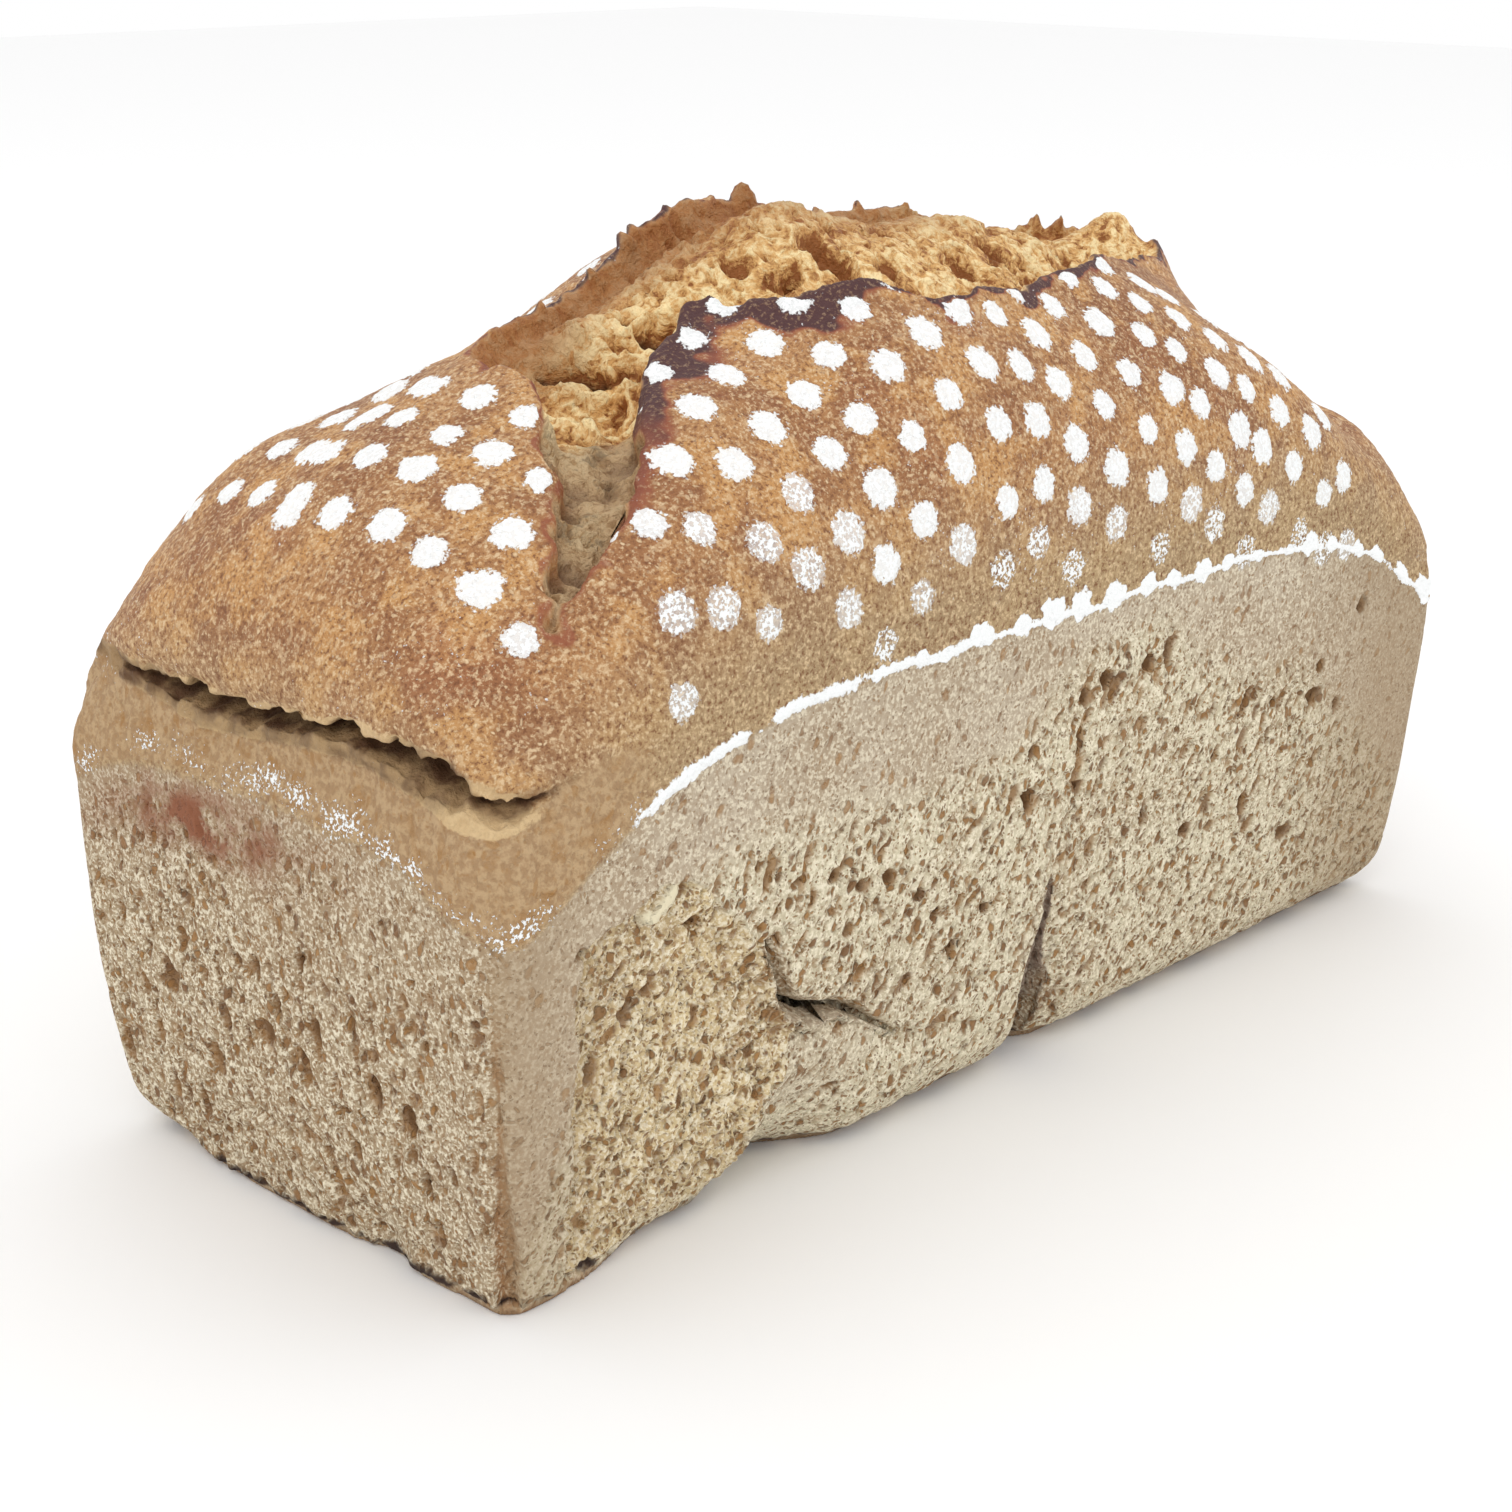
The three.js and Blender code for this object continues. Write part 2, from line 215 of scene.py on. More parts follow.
loafBurst = {
    "nearX": [-88, -70, -60, -53, -49, -44, -38, -28, -14, 6, 28, 55, 80, 98],
    "nearY": [-3, -20, -17.5, -12, -13, -21, -26.5, -29.5, -36.5, -35.5, -31.5, -23.6, -15, -6],
    "farX": [-88, -72, -55, -30, 0, 30, 62, 98],
    "farY": [4, 10, 14, 17, 19, 20, 17, 4],
    "valley": 8, "nearCurl": 1.5, "farCurl": 2.5, "curlWidth": 3, "endRise": (91, -4, 11, 12, 8),
    # x, y, half width, depth of the slanting tear
    "slant": [(-74, -6, 12, 8), (-78, -16, 10, 8), (-88, -28, 8, 6.5), (-97, -37, 6, 5),
              (-106, -42, 3, 3), (-113, -45, 1, 1)],
}
halfLength = loafForm["length"] / 2
halfWidth = loafForm["width"] / 2


def sideRim(x):
    reach = unit(np.abs((x - 3) / (halfLength - 3)))
    low = loafForm["rimCorner"] + 2
    return low + (loafForm["rimSide"] - low) * (1 - reach ** 5)


def endRim(y):
    reach = unit(np.abs(y / halfWidth))
    return loafForm["rimCorner"] + (loafForm["rimEnd"] - loafForm["rimCorner"]) * (1 - reach ** 4)


def rimAt(u, v):
    share = np.abs(u) ** 8 / (np.abs(u) ** 8 + np.abs(v) ** 8 + 1e-9)
    return sideRim(u * halfLength) * (1 - share) + endRim(v * halfWidth) * share


def domeHeight(u, v):
    rightShare = ramp(-0.3, 0.3, u)
    u1, v1 = unit(np.abs(u)), unit(np.abs(v))
    left = (1 - u1 ** loafForm["leftEnd"][0]) ** (1 / loafForm["leftEnd"][1])
    right = (1 - u1 ** loafForm["rightEnd"][0]) ** (1 / loafForm["rightEnd"][1])
    lengthwise = left * (1 - rightShare) + right * rightShare
    across = (1 - v1 ** loafForm["flank"][0]) ** (1 / loafForm["flank"][1])
    rim = rimAt(u, v)
    crown = along(loafForm["crownStations"], loafForm["crownHeights"], u * halfLength)
    return rim + (crown - rim) * lengthwise * across


def roundPlan(u, v, halfX, halfY, radius):
    ax, ay = np.abs(u * halfX), np.abs(v * halfY)
    qx = unit((ax - (halfX - radius)) / radius)
    qy = unit((ay - (halfY - radius)) / radius)
    x = np.minimum(ax, halfX - radius) + radius * qx * np.sqrt(1 - qy * qy / 2)
    y = np.minimum(ay, halfY - radius) + radius * qy * np.sqrt(1 - qx * qx / 2)
    return np.sign(u) * x, np.sign(v) * y


def edgeInset(z, radius):
    t = unit(1 - z / radius)
    return radius * (1 - np.sqrt(1 - t * t))


def hollowsAt(hollows, place, z):
    deep = np.zeros(len(z))
    for at, high, wide, tall, depth in hollows:
        deep += depth * (1 - ramp(0, 1, np.hypot((place - at) / wide, (z - high) / tall)))
    return deep


def wallPlace(u, v, z, scale):
    rise = unit(z / loafForm["rimCorner"])
    lean = loafForm["wallTaper"] * (1 - rise) ** np.where(u < 0, 2.2, 1.3)
    radius = loafForm["cornerBase"] + (loafForm["cornerRim"] - loafForm["cornerBase"]) * rise
    x, y = roundPlan(u * scale, v * scale, halfLength - lean, halfWidth - lean, radius)
    ripple = loafForm["wallRipple"] * (0.5 + 0.5 * uneven(np.stack([x, y, z], 1), 24, 3))
    ripple = ripple * (1 - ramp(80, 100, z))
    (nearLeast, nearMost), (leftLeast, leftMost) = loafForm["nearFoot"], loafForm["leftFoot"]
    nearRound = nearMost + (nearLeast - nearMost) * ramp(90, 125, -x)
    leftRound = leftLeast + (leftMost - leftLeast) * ramp(20, 50, y)
    inX = ripple + edgeInset(z, np.where(u < 0, leftRound, loafForm["rightFoot"]))
    inY = ripple + edgeInset(z, np.where(v < 0, nearRound, loafForm["farFoot"]))
    band = loafForm["bandInset"] * ramp(74, 88, z) * (1 - ramp(90, 96, z)) * ramp(-57, -40, y)
    inX += np.where(u < 0, hollowsAt(loafForm["endHollows"], y, z) + band, 0)
    inY += np.where(v < 0, hollowsAt(loafForm["nearHollows"], x, z), 0)
    x = x - np.sign(u) * inX * ramp(0.8, 1, np.abs(u))
    y = y - np.sign(v) * inY * ramp(0.55, 1, np.abs(v))
    return np.stack([x, y, z], 1)


def burstAt(x, y):
    # 0 at the near lip, 1 at the far lip, and how fully the burst is open at x
    near = along(loafBurst["nearX"], loafBurst["nearY"], x)
    far = along(loafBurst["farX"], loafBurst["farY"], x)
    ends = ramp(-92, -74, x) * (1 - ramp(84, 100, x))
    return near, far, (y - near) / (far - near), ends


def swellAt(swell, x, y):
    atX, atY, high, long, wide = swell
    return high * hump(x - atX, long) * hump(y - atY, wide)


def swellsAt(x, y):
    return sum(swellAt(swell, x, y) for swell in loafForm["swells"])


def crownRelief(x, y):
    near, far, t, ends = burstAt(x, y)
    inside = ramp(0, 0.12, t) * (1 - ramp(0.9, 1, t)) * ends
    valley = loafBurst["valley"] * ((1 - ramp(0.1, 0.62, t)) + 0.35 * ramp(0.75, 0.88, t))
    curl = (loafBurst["nearCurl"] * hump(y - near, loafBurst["curlWidth"])
            + loafBurst["farCurl"] * hump(y - far, loafBurst["curlWidth"])) * ends
    rise = swellAt(loafBurst["endRise"], x, y)
    away, found = routeNear(np.stack([x, y], 1), loafBurst["slant"], "xy")
    torn = -found[:, 1] * (1 - ramp(0.55, 1, away / found[:, 0]))
    return np.where(torn < -1, 0, curl + rise) + torn - inside * valley


def undersidePlace(u, v):
    # fills the base between its four edges
    one, flat = np.ones(len(u)), np.zeros(len(u))

    def edge(a, b):
        return wallPlace(a, b, flat, one)

    s, t = ((u + 1) / 2)[:, None], ((v + 1) / 2)[:, None]
    lengthwise = edge(u, -one) * (1 - t) + edge(u, one) * t
    crosswise = edge(-one, v) * (1 - s) + edge(one, v) * s
    corners = ((edge(-one, -one) * (1 - s) + edge(one, -one) * s) * (1 - t)
               + (edge(-one, one) * (1 - s) + edge(one, one) * s) * t)
    return lengthwise + crosswise - corners


def shapeLoaf(cube):
    # turns the cut cube into the loaf: its top face becomes the crown, its sides the walls
    places = placesOf(cube)
    spread = 0.6 * places + 0.4 * np.sin(places * math.pi / 2)
    u, v = spread[:, 0], spread[:, 1]
    w = (places[:, 2] + 1) / 2
    top, bottom = w > 1 - 1e-6, w < 1e-6
    shoulder = loafForm["shoulder"]
    z = domeHeight(u * shoulder, v * shoulder) * w
    low, high = np.full(len(u), shoulder), np.ones(len(u))
    for _ in range(24):
        middle = (low + high) / 2
        tooHigh = domeHeight(u * middle, v * middle) > z
        low, high = np.where(tooHigh, middle, low), np.where(tooHigh, high, middle)
    scale = np.where(z > rimAt(u, v), (low + high) / 2, 1)
    shaped = wallPlace(u, v, z, scale)
    shaped[bottom] = undersidePlace(u[bottom], v[bottom])
    x, y = roundPlan(u * shoulder, v * shoulder, halfLength, halfWidth, loafForm["cornerRim"])
    inland = ramp(0, 0.06, 1 - np.maximum(np.abs(u), np.abs(v)))
    ripple = loafForm["crustRipple"] * uneven(np.stack([x, y, 0 * x], 1), 17, 5) + swellsAt(x, y)
    crown = domeHeight(u * shoulder, v * shoulder) + (ripple + crownRelief(x, y)) * inland
    shaped[top] = np.stack([x, y, crown], 1)[top]
    putPlaces(cube, shaped * mm)


deselectAll()
bpy.ops.mesh.primitive_cube_add(size=2, location=(0, 0, 0))
loaf = bpy.context.object
loaf.name = "breadLoaf"
setMode("EDIT")
bpy.ops.mesh.select_all(action="SELECT")
bpy.ops.mesh.subdivide(number_cuts=loafForm["gridCuts"])
setMode("OBJECT")
shapeLoaf(loaf)
print("plain form", len(loaf.data.vertices))


# tears and folds that are open inside; each route: x, y, z, half gap, depth; then the way
# in and the way the gap opens
loafTears = {
    "endTear": {
        "route": [(-139, 50, 92, 0.6, 5), (-139, 40, 90.5, 1.6, 9), (-139, 27, 89.5, 2.0, 12),
                  (-139, 16, 89, 3.4, 15), (-139, 2, 89.5, 2.6, 15), (-139, -13, 91, 2.2, 14),
                  (-139, -26, 92, 3.2, 15), (-139, -38, 90.5, 3.6, 16), (-138, -47, 88, 3.6, 14),
                  (-134, -55, 86, 2.4, 9), (-127, -58.5, 87, 1.4, 6), (-118, -59, 89.5, 0.9, 4),
                  (-108, -59, 91.5, 0.4, 2)],
        "heart": (-118, -38), "opens": (0, 0, 1), "ragged": 0.5, "cuts": 110},
    "fold": {
        "route": [(-78, -57, 51, 0.8, 3), (-74, -57, 44, 1.8, 6), (-70, -57, 37, 3.0, 8),
                  (-64, -57, 33.4, 3.2, 8), (-56, -57, 31.4, 2.0, 8), (-48, -57, 26, 1.2, 6),
                  (-40, -57, 21, 0.7, 4), (-30, -57, 18.6, 0.5, 3), (-16, -57, 15, 0.4, 2)],
        "inward": (0, 1, 0), "opens": (0.7, 0, 0.7), "ragged": 0.45, "cuts": 60},
    "notch": {
        "route": [(1, -56, 40, 0.6, 3), (2, -55, 30, 2.2, 8), (4, -49.5, 15, 3.6, 10),
                  (4.5, -45, 4, 4.2, 10), (5, -40, -4, 4.6, 10)],
        "inward": (0, 1, 0), "opens": (1, 0, 0), "ragged": 0.25, "cuts": 30},
}


def tearBlade(name, tear):
    # a four sided wedge carried along the route, its outer edge clear of the crust
    route = np.array(tear["route"], float)
    deselectAll()
    bpy.ops.mesh.primitive_cylinder_add(vertices=4, radius=1, depth=2, location=(0, 0, 0))
    blade = bpy.context.object
    blade.name = name
    setMode("EDIT")
    bpy.ops.mesh.select_mode(type="EDGE")
    bpy.ops.mesh.select_all(action="DESELECT")
    setMode("OBJECT")
    for edge in blade.data.edges:
        a, b = (blade.data.vertices[i].co for i in edge.vertices)
        edge.select = abs(a.z - b.z) > 1
    setMode("EDIT")
    bpy.ops.mesh.subdivide(number_cuts=tear["cuts"])
    setMode("OBJECT")
    p = placesOf(blade)
    gone = np.concatenate([[0], np.cumsum(np.linalg.norm(np.diff(route[:, :3], axis=0), axis=1))])
    t = (1 - p[:, 2]) / 2 * gone[-1]
    steps = np.stack([np.interp(t, gone, route[:, n]) for n in range(5)], 1)
    ring = np.stack([t, 0 * t, 0 * t], 1)
    side = np.sign(np.where(np.abs(p[:, 1]) > 0.3, p[:, 1], 0))
    jagged = (0.5 * uneven(ring, 4.2, 1) + 0.4 * uneven(ring, 1.9, 2)
              + side * (0.8 * uneven(ring, 6, 3) + 0.5 * uneven(ring, 2.2, 4)))
    gap = np.maximum(steps[:, 3] * (1 + tear["ragged"] * jagged), 0.15)
    if "heart" in tear:
        way = np.maximum(steps[:, :2], tear["heart"]) - steps[:, :2]
        way = np.concatenate([way, 0.15 * np.linalg.norm(way, axis=1)[:, None]], 1)
    else:
        way = np.tile(np.array(tear["inward"], float), (len(t), 1))
    way /= np.linalg.norm(way, axis=1)[:, None]
    opens = np.array(tear["opens"], float)
    opens /= np.linalg.norm(opens)
    into = np.where(p[:, 0] > 0, p[:, 0] * steps[:, 4], p[:, 0] * 6)
    shaped = steps[:, :3] + way * into[:, None] + opens * (p[:, 1] * gap)[:, None]
    putPlaces(blade, shaped * mm)
    setMode("EDIT")
    bpy.ops.mesh.select_all(action="SELECT")
    bpy.ops.mesh.normals_make_consistent(inside=False)
    setMode("OBJECT")
    return blade


def remeshLoaf(size):
    remesh = loaf.modifiers.new("remesh", "REMESH")
    remesh.mode = "VOXEL"
    remesh.voxel_size = size * mm
    remesh.adaptivity = 0
    applyModifiers(loaf)


loafDetail = {"firstVoxel": 1.2, "voxel": 0.5, "quickVoxel": 1.1}
remeshLoaf(loafDetail["firstVoxel"])
for tearName, tear in loafTears.items():
    blade = tearBlade(tearName, tear)
    cut = loaf.modifiers.new("cut", "BOOLEAN")
    cut.operation = "DIFFERENCE"
    cut.solver = "EXACT"
    cut.object = blade
    applyModifiers(loaf)
    bpy.data.objects.remove(blade)
    print("cut", tearName, len(loaf.data.vertices))

remeshLoaf(loafDetail["voxel"])
print("fine mesh", len(loaf.data.vertices), len(loaf.data.polygons))


wallPits = {
    "fine": {"cell": 1.5, "size": (0.5, 0.9), "share": 0.9, "deepest": 0.7},
    "small": {"cell": 2.3, "size": (0.75, 1.3), "share": 0.7, "deepest": 1.0},
    "open": {"cell": 4.0, "size": (1.1, 1.9), "share": 0.32, "deepest": 1.5},
    "big": {"cell": 9.5, "size": (1.6, 2.8), "share": 0.14, "deepest": 2.0},
}
# how far the smooth skin reaches below the rim mark of the long walls
skinStations = [-138, -118, -100, -60, -20, 8, 30, 45, 80, 110, 138]
skinReach = [62, 40, 22, 22, 20, 11, 9, 19, 28, 32, 40]
# holes that show in the near wall: x, z, wide, high, deep
nearHoles = [
    (-93.5, 58.5, 2.2, 1.6, 5), (-103, 50, 3.0, 2.4, 2.0), (-103, 50, 1.0, 0.9, 4),
    (-107.5, 27, 1.6, 2.2, 5), (-8.6, 58, 2.6, 2.8, 4.5), (-76, 49.5, 2.6, 3.4, 4),
    (-73.5, 44.5, 3, 2, 3), (-61.7, 57.8, 2.4, 1.8, 2.6), (-54.4, 54.3, 2.2, 2.0, 3.2),
    (-47.3, 53.7, 2.6, 2.2, 2.6), (-39.1, 48, 3.2, 2.4, 3), (-69.9, 59.6, 2.6, 1.8, 2),
    (-80.5, 64.5, 1.4, 1.6, 2.4), (-75.5, 61.6, 1.2, 1.6, 2), (-34.4, 43.1, 2.2, 1.6, 3),
    (-28.7, 34.3, 1.6, 2.4, 3.4), (-57.8, 46.9, 2.8, 2.2, 2), (14.4, 76, 2.8, 2.8, 3.4),
    (7.8, 74.0, 2.2, 3.0, 2.8), (6.2, 66, 1.8, 4.2, 2.8), (6.8, 56.7, 1.9, 2.3, 3),
    (26.8, 76.5, 3.2, 2.8, 3), (33.2, 78.1, 2.4, 3.8, 3.6), (-8.3, 67.1, 2.2, 2.0, 2.6),
    (103.7, 72.9, 1.7, 3.0, 3.6), (89.1, 62.2, 2.6, 2.2, 3.6), (87.1, 56.5, 3.6, 3.4, 3.2),
    (72.1, 58.6, 2.0, 2.2, 3.4), (70.9, 52.6, 1.5, 1.8, 3.2), (97.3, 52.4, 2.6, 2.2, 2.8),
    (65.6, 38, 2.4, 4.2, 2.8), (45.1, 37.5, 3.4, 2.4, 3.2), (54.2, 36.0, 3.0, 1.7, 2.8),
    (84.2, 26.6, 4.0, 3.2, 2.6), (-120, 61.5, 1.6, 1.4, 2), (-56.5, 15.0, 2.2, 1.2, 3),
    (-20, 40, 2.4, 1.6, 2.4), (30, 44, 1.6, 2.4, 2.6), (20, 60, 1.5, 2.0, 2.4),
]
# and in the left end wall: y, z, wide, high, deep
endHoles = [
    (-9.6, 51.6, 1.4, 3.2, 4), (-2, 41, 1.8, 3.2, 4.2), (2.7, 47, 1.8, 2.4, 3),
    (7.9, 46.5, 1.8, 2.0, 2.6), (-6.8, 34.5, 1.8, 1.8, 3), (-11.9, 39, 2.4, 4.2, 2.6),
    (-26.4, 34.3, 3.0, 4.6, 3), (-33.7, 31, 2.2, 4.4, 2.6), (-36.7, 20.5, 1.3, 3.2, 4),
    (-38.4, 11.8, 1.2, 3.6, 3.6), (2.5, 35, 2.6, 3.4, 2.2), (29.8, 36.5, 3.4, 6.0, 2.0),
    (18.9, 24, 2.6, 4.6, 2.0), (-18.2, 27.5, 1.0, 1.0, 2.6), (14, 33, 2.0, 4.0, 2.0),
    (-22, 44, 1.6, 3.0, 2.2), (-19, 20, 1.8, 3.4, 2.2), (24, 46, 2.2, 4.4, 1.6),
    (-44, 24, 1.2, 3.0, 2.2), (36, 24, 2.0, 4.0, 1.6),
]
# outlines in the near wall, x and z: the torn rough patch, the lobe lapped under it and the
# band below; and the lump at the foot of the end wall, y and z
roughPatch = [
    (-120, 61.7), (-111.3, 64.1), (-107, 65.5), (-103.3, 67.8), (-98.3, 67.5), (-92.3, 64.1),
    (-86, 58), (-79.8, 51.5), (-75.4, 44.6), (-69.6, 34.7), (-69.4, 24.9), (-74.7, 18.4),
    (-76.6, 8), (-82, -4), (-119.9, -4), (-120.6, 30),
]
lappedLobe = [
    (-71, 39), (-66, 35.5), (-60, 33), (-53, 30.5), (-48.5, 26.5), (-47.5, 20), (-55, 14),
    (-66, 13.5), (-75, 18), (-71, 26),
]
lowBand = [
    (-48.5, 26.5), (-41, 22), (-33, 19.5), (-22, 17.5), (-8, 13), (-4, 2), (-30, -4),
    (-80, -4), (-74, 18), (-55, 13.8), (-47.5, 20),
]
endLump = [(21, -3), (22, 8), (18, 13), (8, 16.5), (-2, 14), (-9, 9), (-13, 2), (-14, -3)]
# pale grains that show in the near wall: x, z, half length, half width, lean
kernels = [(-101.4, 65.2, 3.4, 1.3, 0.9), (-105.3, 63.2, 1.9, 1.2, -1.2)]
# slits between the ledges of the burst: x, y, z, half width, depth
burstSlits = [
    [(-73, 1.5, 139, 0.5, 3), (-69, -2, 138.6, 1.1, 5), (-63, -7, 138.5, 1.2, 6), (-59, -9, 138.6, 0.9, 5)],
    [(-56, -1.5, 143.4, 0.6, 3), (-52, -4.2, 143.6, 1.6, 6), (-49.4, -6.6, 144.2, 1.6, 6)],
    [(-66, 4, 144, 0.5, 2.5), (-60, 0, 144.6, 0.8, 3.5), (-54, -2, 147, 0.7, 3)],
    [(-70, 6, 141.8, 0.5, 2), (-64, 1, 141.2, 0.6, 3), (-58, -3, 141.2, 0.5, 2.5)],
]
# round gas cells that show in the burst: x, y, z, radius, depth
burstCells = [
    (-41.9, -14.1, 151.7, 5.0, 3.0), (-33, -6, 153.6, 4.6, 3.4), (-31.3, -2.4, 157.2, 2.2, 2.6),
    (-35.6, -0.6, 153.6, 2.2, 2.4), (-26.5, -13.7, 152.8, 2.2, 3.0), (-17.6, -10.3, 157, 4.2, 3.6),
    (-15.6, -15.8, 154.9, 4.4, 4.4), (-4, -17, 152, 3.6, 2.6), (22, -14, 150, 4.2, 3.0),
    (37, -9, 150.5, 3.6, 2.6), (52, -12, 148.5, 3.4, 2.4), (8, -4, 156, 3.6, 2.2),
    (66, -6, 147.5, 3.2, 2.4),
]


def insideOutline(across, z, corners, where):
    # signed distance in mm from an outline on a wall, above 0 inside it
    flat = np.stack([across, z], 1)[where]
    away, _ = routeNear(flat, [c + (0,) for c in corners + corners[:1]], "xz")
    inside = np.zeros(len(flat), bool)
    for (ax, az), (bx, bz) in zip(corners, corners[1:] + corners[:1]):
        crosses = (az > flat[:, 1]) != (bz > flat[:, 1])
        inside ^= crosses & (flat[:, 0] < (bx - ax) * (flat[:, 1] - az) / (bz - az + 1e-12) + ax)
    whole = np.full(len(z), -99.0)
    whole[where] = np.where(inside, away, -away)
    return whole


def holesAt(holes, place, z, wobble):
    deep = np.zeros(len(z))
    for at, high, wide, tall, depth in holes:
        close = (np.abs(place - at) < 2 * wide) & (np.abs(z - high) < 2 * tall)
        r = np.hypot((place[close] - at) / wide, (z[close] - high) / tall) * (1.3 + 0.6 * wobble[close])
        deep[close] = np.maximum(deep[close], 0.8 * depth * (1 - ramp(0.5, 1.05, r)))
    return deep


def warped(reach, cell, seed):
    # the places, each shifted a little, so that patterns on them don't run straight
    return places + reach * np.stack([uneven(places, cell, seed + n) for n in range(3)], 1)


places = placesOf(loaf) / mm
outward = outwardOf(loaf)
inward = -outward
x, y, z = places.T
nx, ny, nz = outward.T
u, v = np.clip(x / halfLength, -1, 1), np.clip(y / halfWidth, -1, 1)
rim = rimAt(u, v)
above = z - rim + 0.8 * uneven(places, 9, 31)          # over the tin's rim mark
under = ramp(0.75, 0.95, -nz) * ramp(1.5, 0.5, z)      # the flat underside
wall = (1 - ramp(-0.8, 0.8, above)) * (1 - under)
onNear, onFar, onEnd, onRight = (ramp(0.45, 0.8, facing) for facing in (-ny, ny, -nx, nx))
onLong, onEnds = onNear + onFar, onEnd + onRight
wallish = unit(onLong + onEnds) * wall
nearWall = onNear * wall

# the gap of the end tear: nearest place on its route, seen from above
gap = {"x": -100, "heart": (1.4, 0.4), "lipWidth": 1.3, "seen": (22, 16), "inside": (2.2, 4.5)}
endRoute = [(a, b, c, g) for a, b, c, g, _ in loafTears["endTear"]["route"]]
tearAway, tearFound = routeNear(places[:, :2], endRoute, "xy")
tearRise, tearHalf = z - tearFound[:, 0], tearFound[:, 1]
fromGap = np.abs(tearRise) - tearHalf
nearTear = ramp(*gap["seen"], tearAway) * (x < gap["x"])
# painted shade inside the end tear's gap: strongest at the gap's middle and far in from its mouth
tearHeart = ramp(*gap["heart"], fromGap) * nearTear * ramp(*gap["inside"], tearAway)
tearHeart *= ramp(-112, -118, x)
tearLip = hump(np.maximum(fromGap, 0), gap["lipWidth"]) * nearTear * ramp(7, 4, tearAway)
tearLip *= 1 - 0.7 * ramp(-131, -122, x)

# where the crust is torn open
ragged = 1.5 * uneven(places, 6, 41) + 0.8 * uneven(places, 2.4, 42)
nearY, farY, burstT, _ = burstAt(x, y)
intoNear, intoFar = y - nearY + ragged, farY - y + ragged
openX = np.minimum(x + 86 + 2 * ragged, 97 + 2 * ragged - x)
insideBurst = np.minimum(np.minimum(intoNear, intoFar), openX)
slantAway, slantFound = routeNear(places[:, :2], loafBurst["slant"], "xy")
insideSlant = slantFound[:, 0] * 0.9 - slantAway + 1.1 * ragged + 0.8 * uneven(places, 4, 43)
onCrown = above > 12
insideTorn = np.where(onCrown, np.maximum(insideBurst, insideSlant), -20)
crumb = ramp(-0.4, 0.6, insideTorn)
dome = ramp(0.2, 1.2, above) * (1 - crumb) * (1 - under)
print("masks", len(places))


# mm that each thing moves the surface by
carve = {
    "patch": 1.2, "patchLip": 1.3, "worms": 1.3, "patchWaves": 0.9, "lumpLip": 0.7,
    "lobe": 1.0, "lobeEdge": 2.6, "band": 0.4, "bandEdge": 1.2, "seam": 0.5, "seamFoot": 1.5,
    "crags": 2.2, "slantWaves": 2.4, "slantFlakes": 1.3, "slitLip": 1.3,
    "cliff": 1.3, "cliffInside": 0.9, "spikes": 5, "crumbs": 0.8,
    "bumps": 0.24, "waves": 0.22, "wrinkles": 0.45, "folds": 0.3, "lipFine": 0.8, "lipWide": 0.6,
    "notchMouth": 3.0, "chips": 1.1, "baseWaves": 0.5,
    # torn crumb sinks partly inwards and partly down
    "sinkIn": 0.35, "sinkDown": 0.65,
}

# walls: how open the crumb is, from a smooth skin to a rough sponge
nearOnly, endOnly = nearWall > 0.01, onEnd * wall > 0.01
patch = insideOutline(x, z, roughPatch, nearOnly)
patch += 1.1 * uneven(places, 5, 51) + 0.5 * uneven(places, 2, 52)
patchMask = ramp(-0.5, 0.5, patch) * nearWall
lobe = insideOutline(x, z, lappedLobe, nearOnly) + 0.6 * uneven(places, 3, 53)
lobeMask = ramp(-0.4, 0.4, lobe) * (1 - patchMask) * nearWall
band = insideOutline(x, z, lowBand, nearOnly) + 0.6 * uneven(places, 3, 54)
bandMask = ramp(-0.4, 0.4, band) * (1 - patchMask) * (1 - lobeMask) * nearWall
lump = insideOutline(y, z, endLump, endOnly) + 0.7 * uneven(places, 4, 55)

reach = along(skinStations, skinReach, x)
spongeLong = ramp(reach - 6, reach + 8, rim - z + 6 * uneven(places, 20, 56))
spongeEnd = 0.5 + 0.4 * ramp(56, 42, z) * ramp(-52, -30, y) + 0.2 * uneven(places, 18, 57)
spongeEnd *= ramp(1, 9, rim - z)
sponge = (spongeLong * onLong + spongeEnd * onEnds) / np.maximum(onLong + onEnds, 1e-3)
sponge = np.maximum(unit(sponge), patchMask) * wall * (1 - 0.5 * lobeMask)

warp = warped(1.3, 5, 61)
slanted = warp.copy()
slanted[:, 0] = warp[:, 0] - 0.45 * warp[:, 2]
tall = np.where((onEnds > 0.5)[:, None], warp, slanted)
onWalls = wallish > 0.02
cut = {name: bubbles(tall, inward, pits, 100 * n + 100, (1, 1, 1.6), onWalls)
       for n, (name, pits) in enumerate(wallPits.items())}
pitted = cut["fine"] * (0.2 + 0.8 * sponge)
for name, from_, full in (("small", 0.1, 0.5), ("open", 0.45, 0.8), ("big", 0.65, 0.9)):
    pitted = np.maximum(pitted, cut[name] * ramp(from_, full, sponge))
print("pits")
wobble = uneven(places, 2.2, 71)
holes = holesAt(nearHoles, x, z, wobble) * onNear + holesAt(endHoles, y, z, wobble) * onEnd
holes += holesAt(nearHoles, -x, z, wobble) * onFar + holesAt(endHoles, -y, z, wobble) * onRight
pitted = np.maximum(pitted, holes)
worms = np.abs(octaves(slanted, 2.4, 81, (1, 1, 1.7), 2))
roughened = carve["worms"] * ramp(0.32, 0.0, worms) + carve["patchWaves"] * uneven(places, 4.5, 82)
roughened *= patchMask
patchEdge = hump(patch - 1.4, 1.6) * ramp(-112, -100, x) * nearWall
laps = lobeMask * (carve["lobe"] + carve["lobeEdge"] * ramp(9, 0, 34 - z + 0.25 * (x + 60)))
laps += bandMask * (carve["band"] + carve["bandEdge"] * ramp(8, 0, 22 - z))
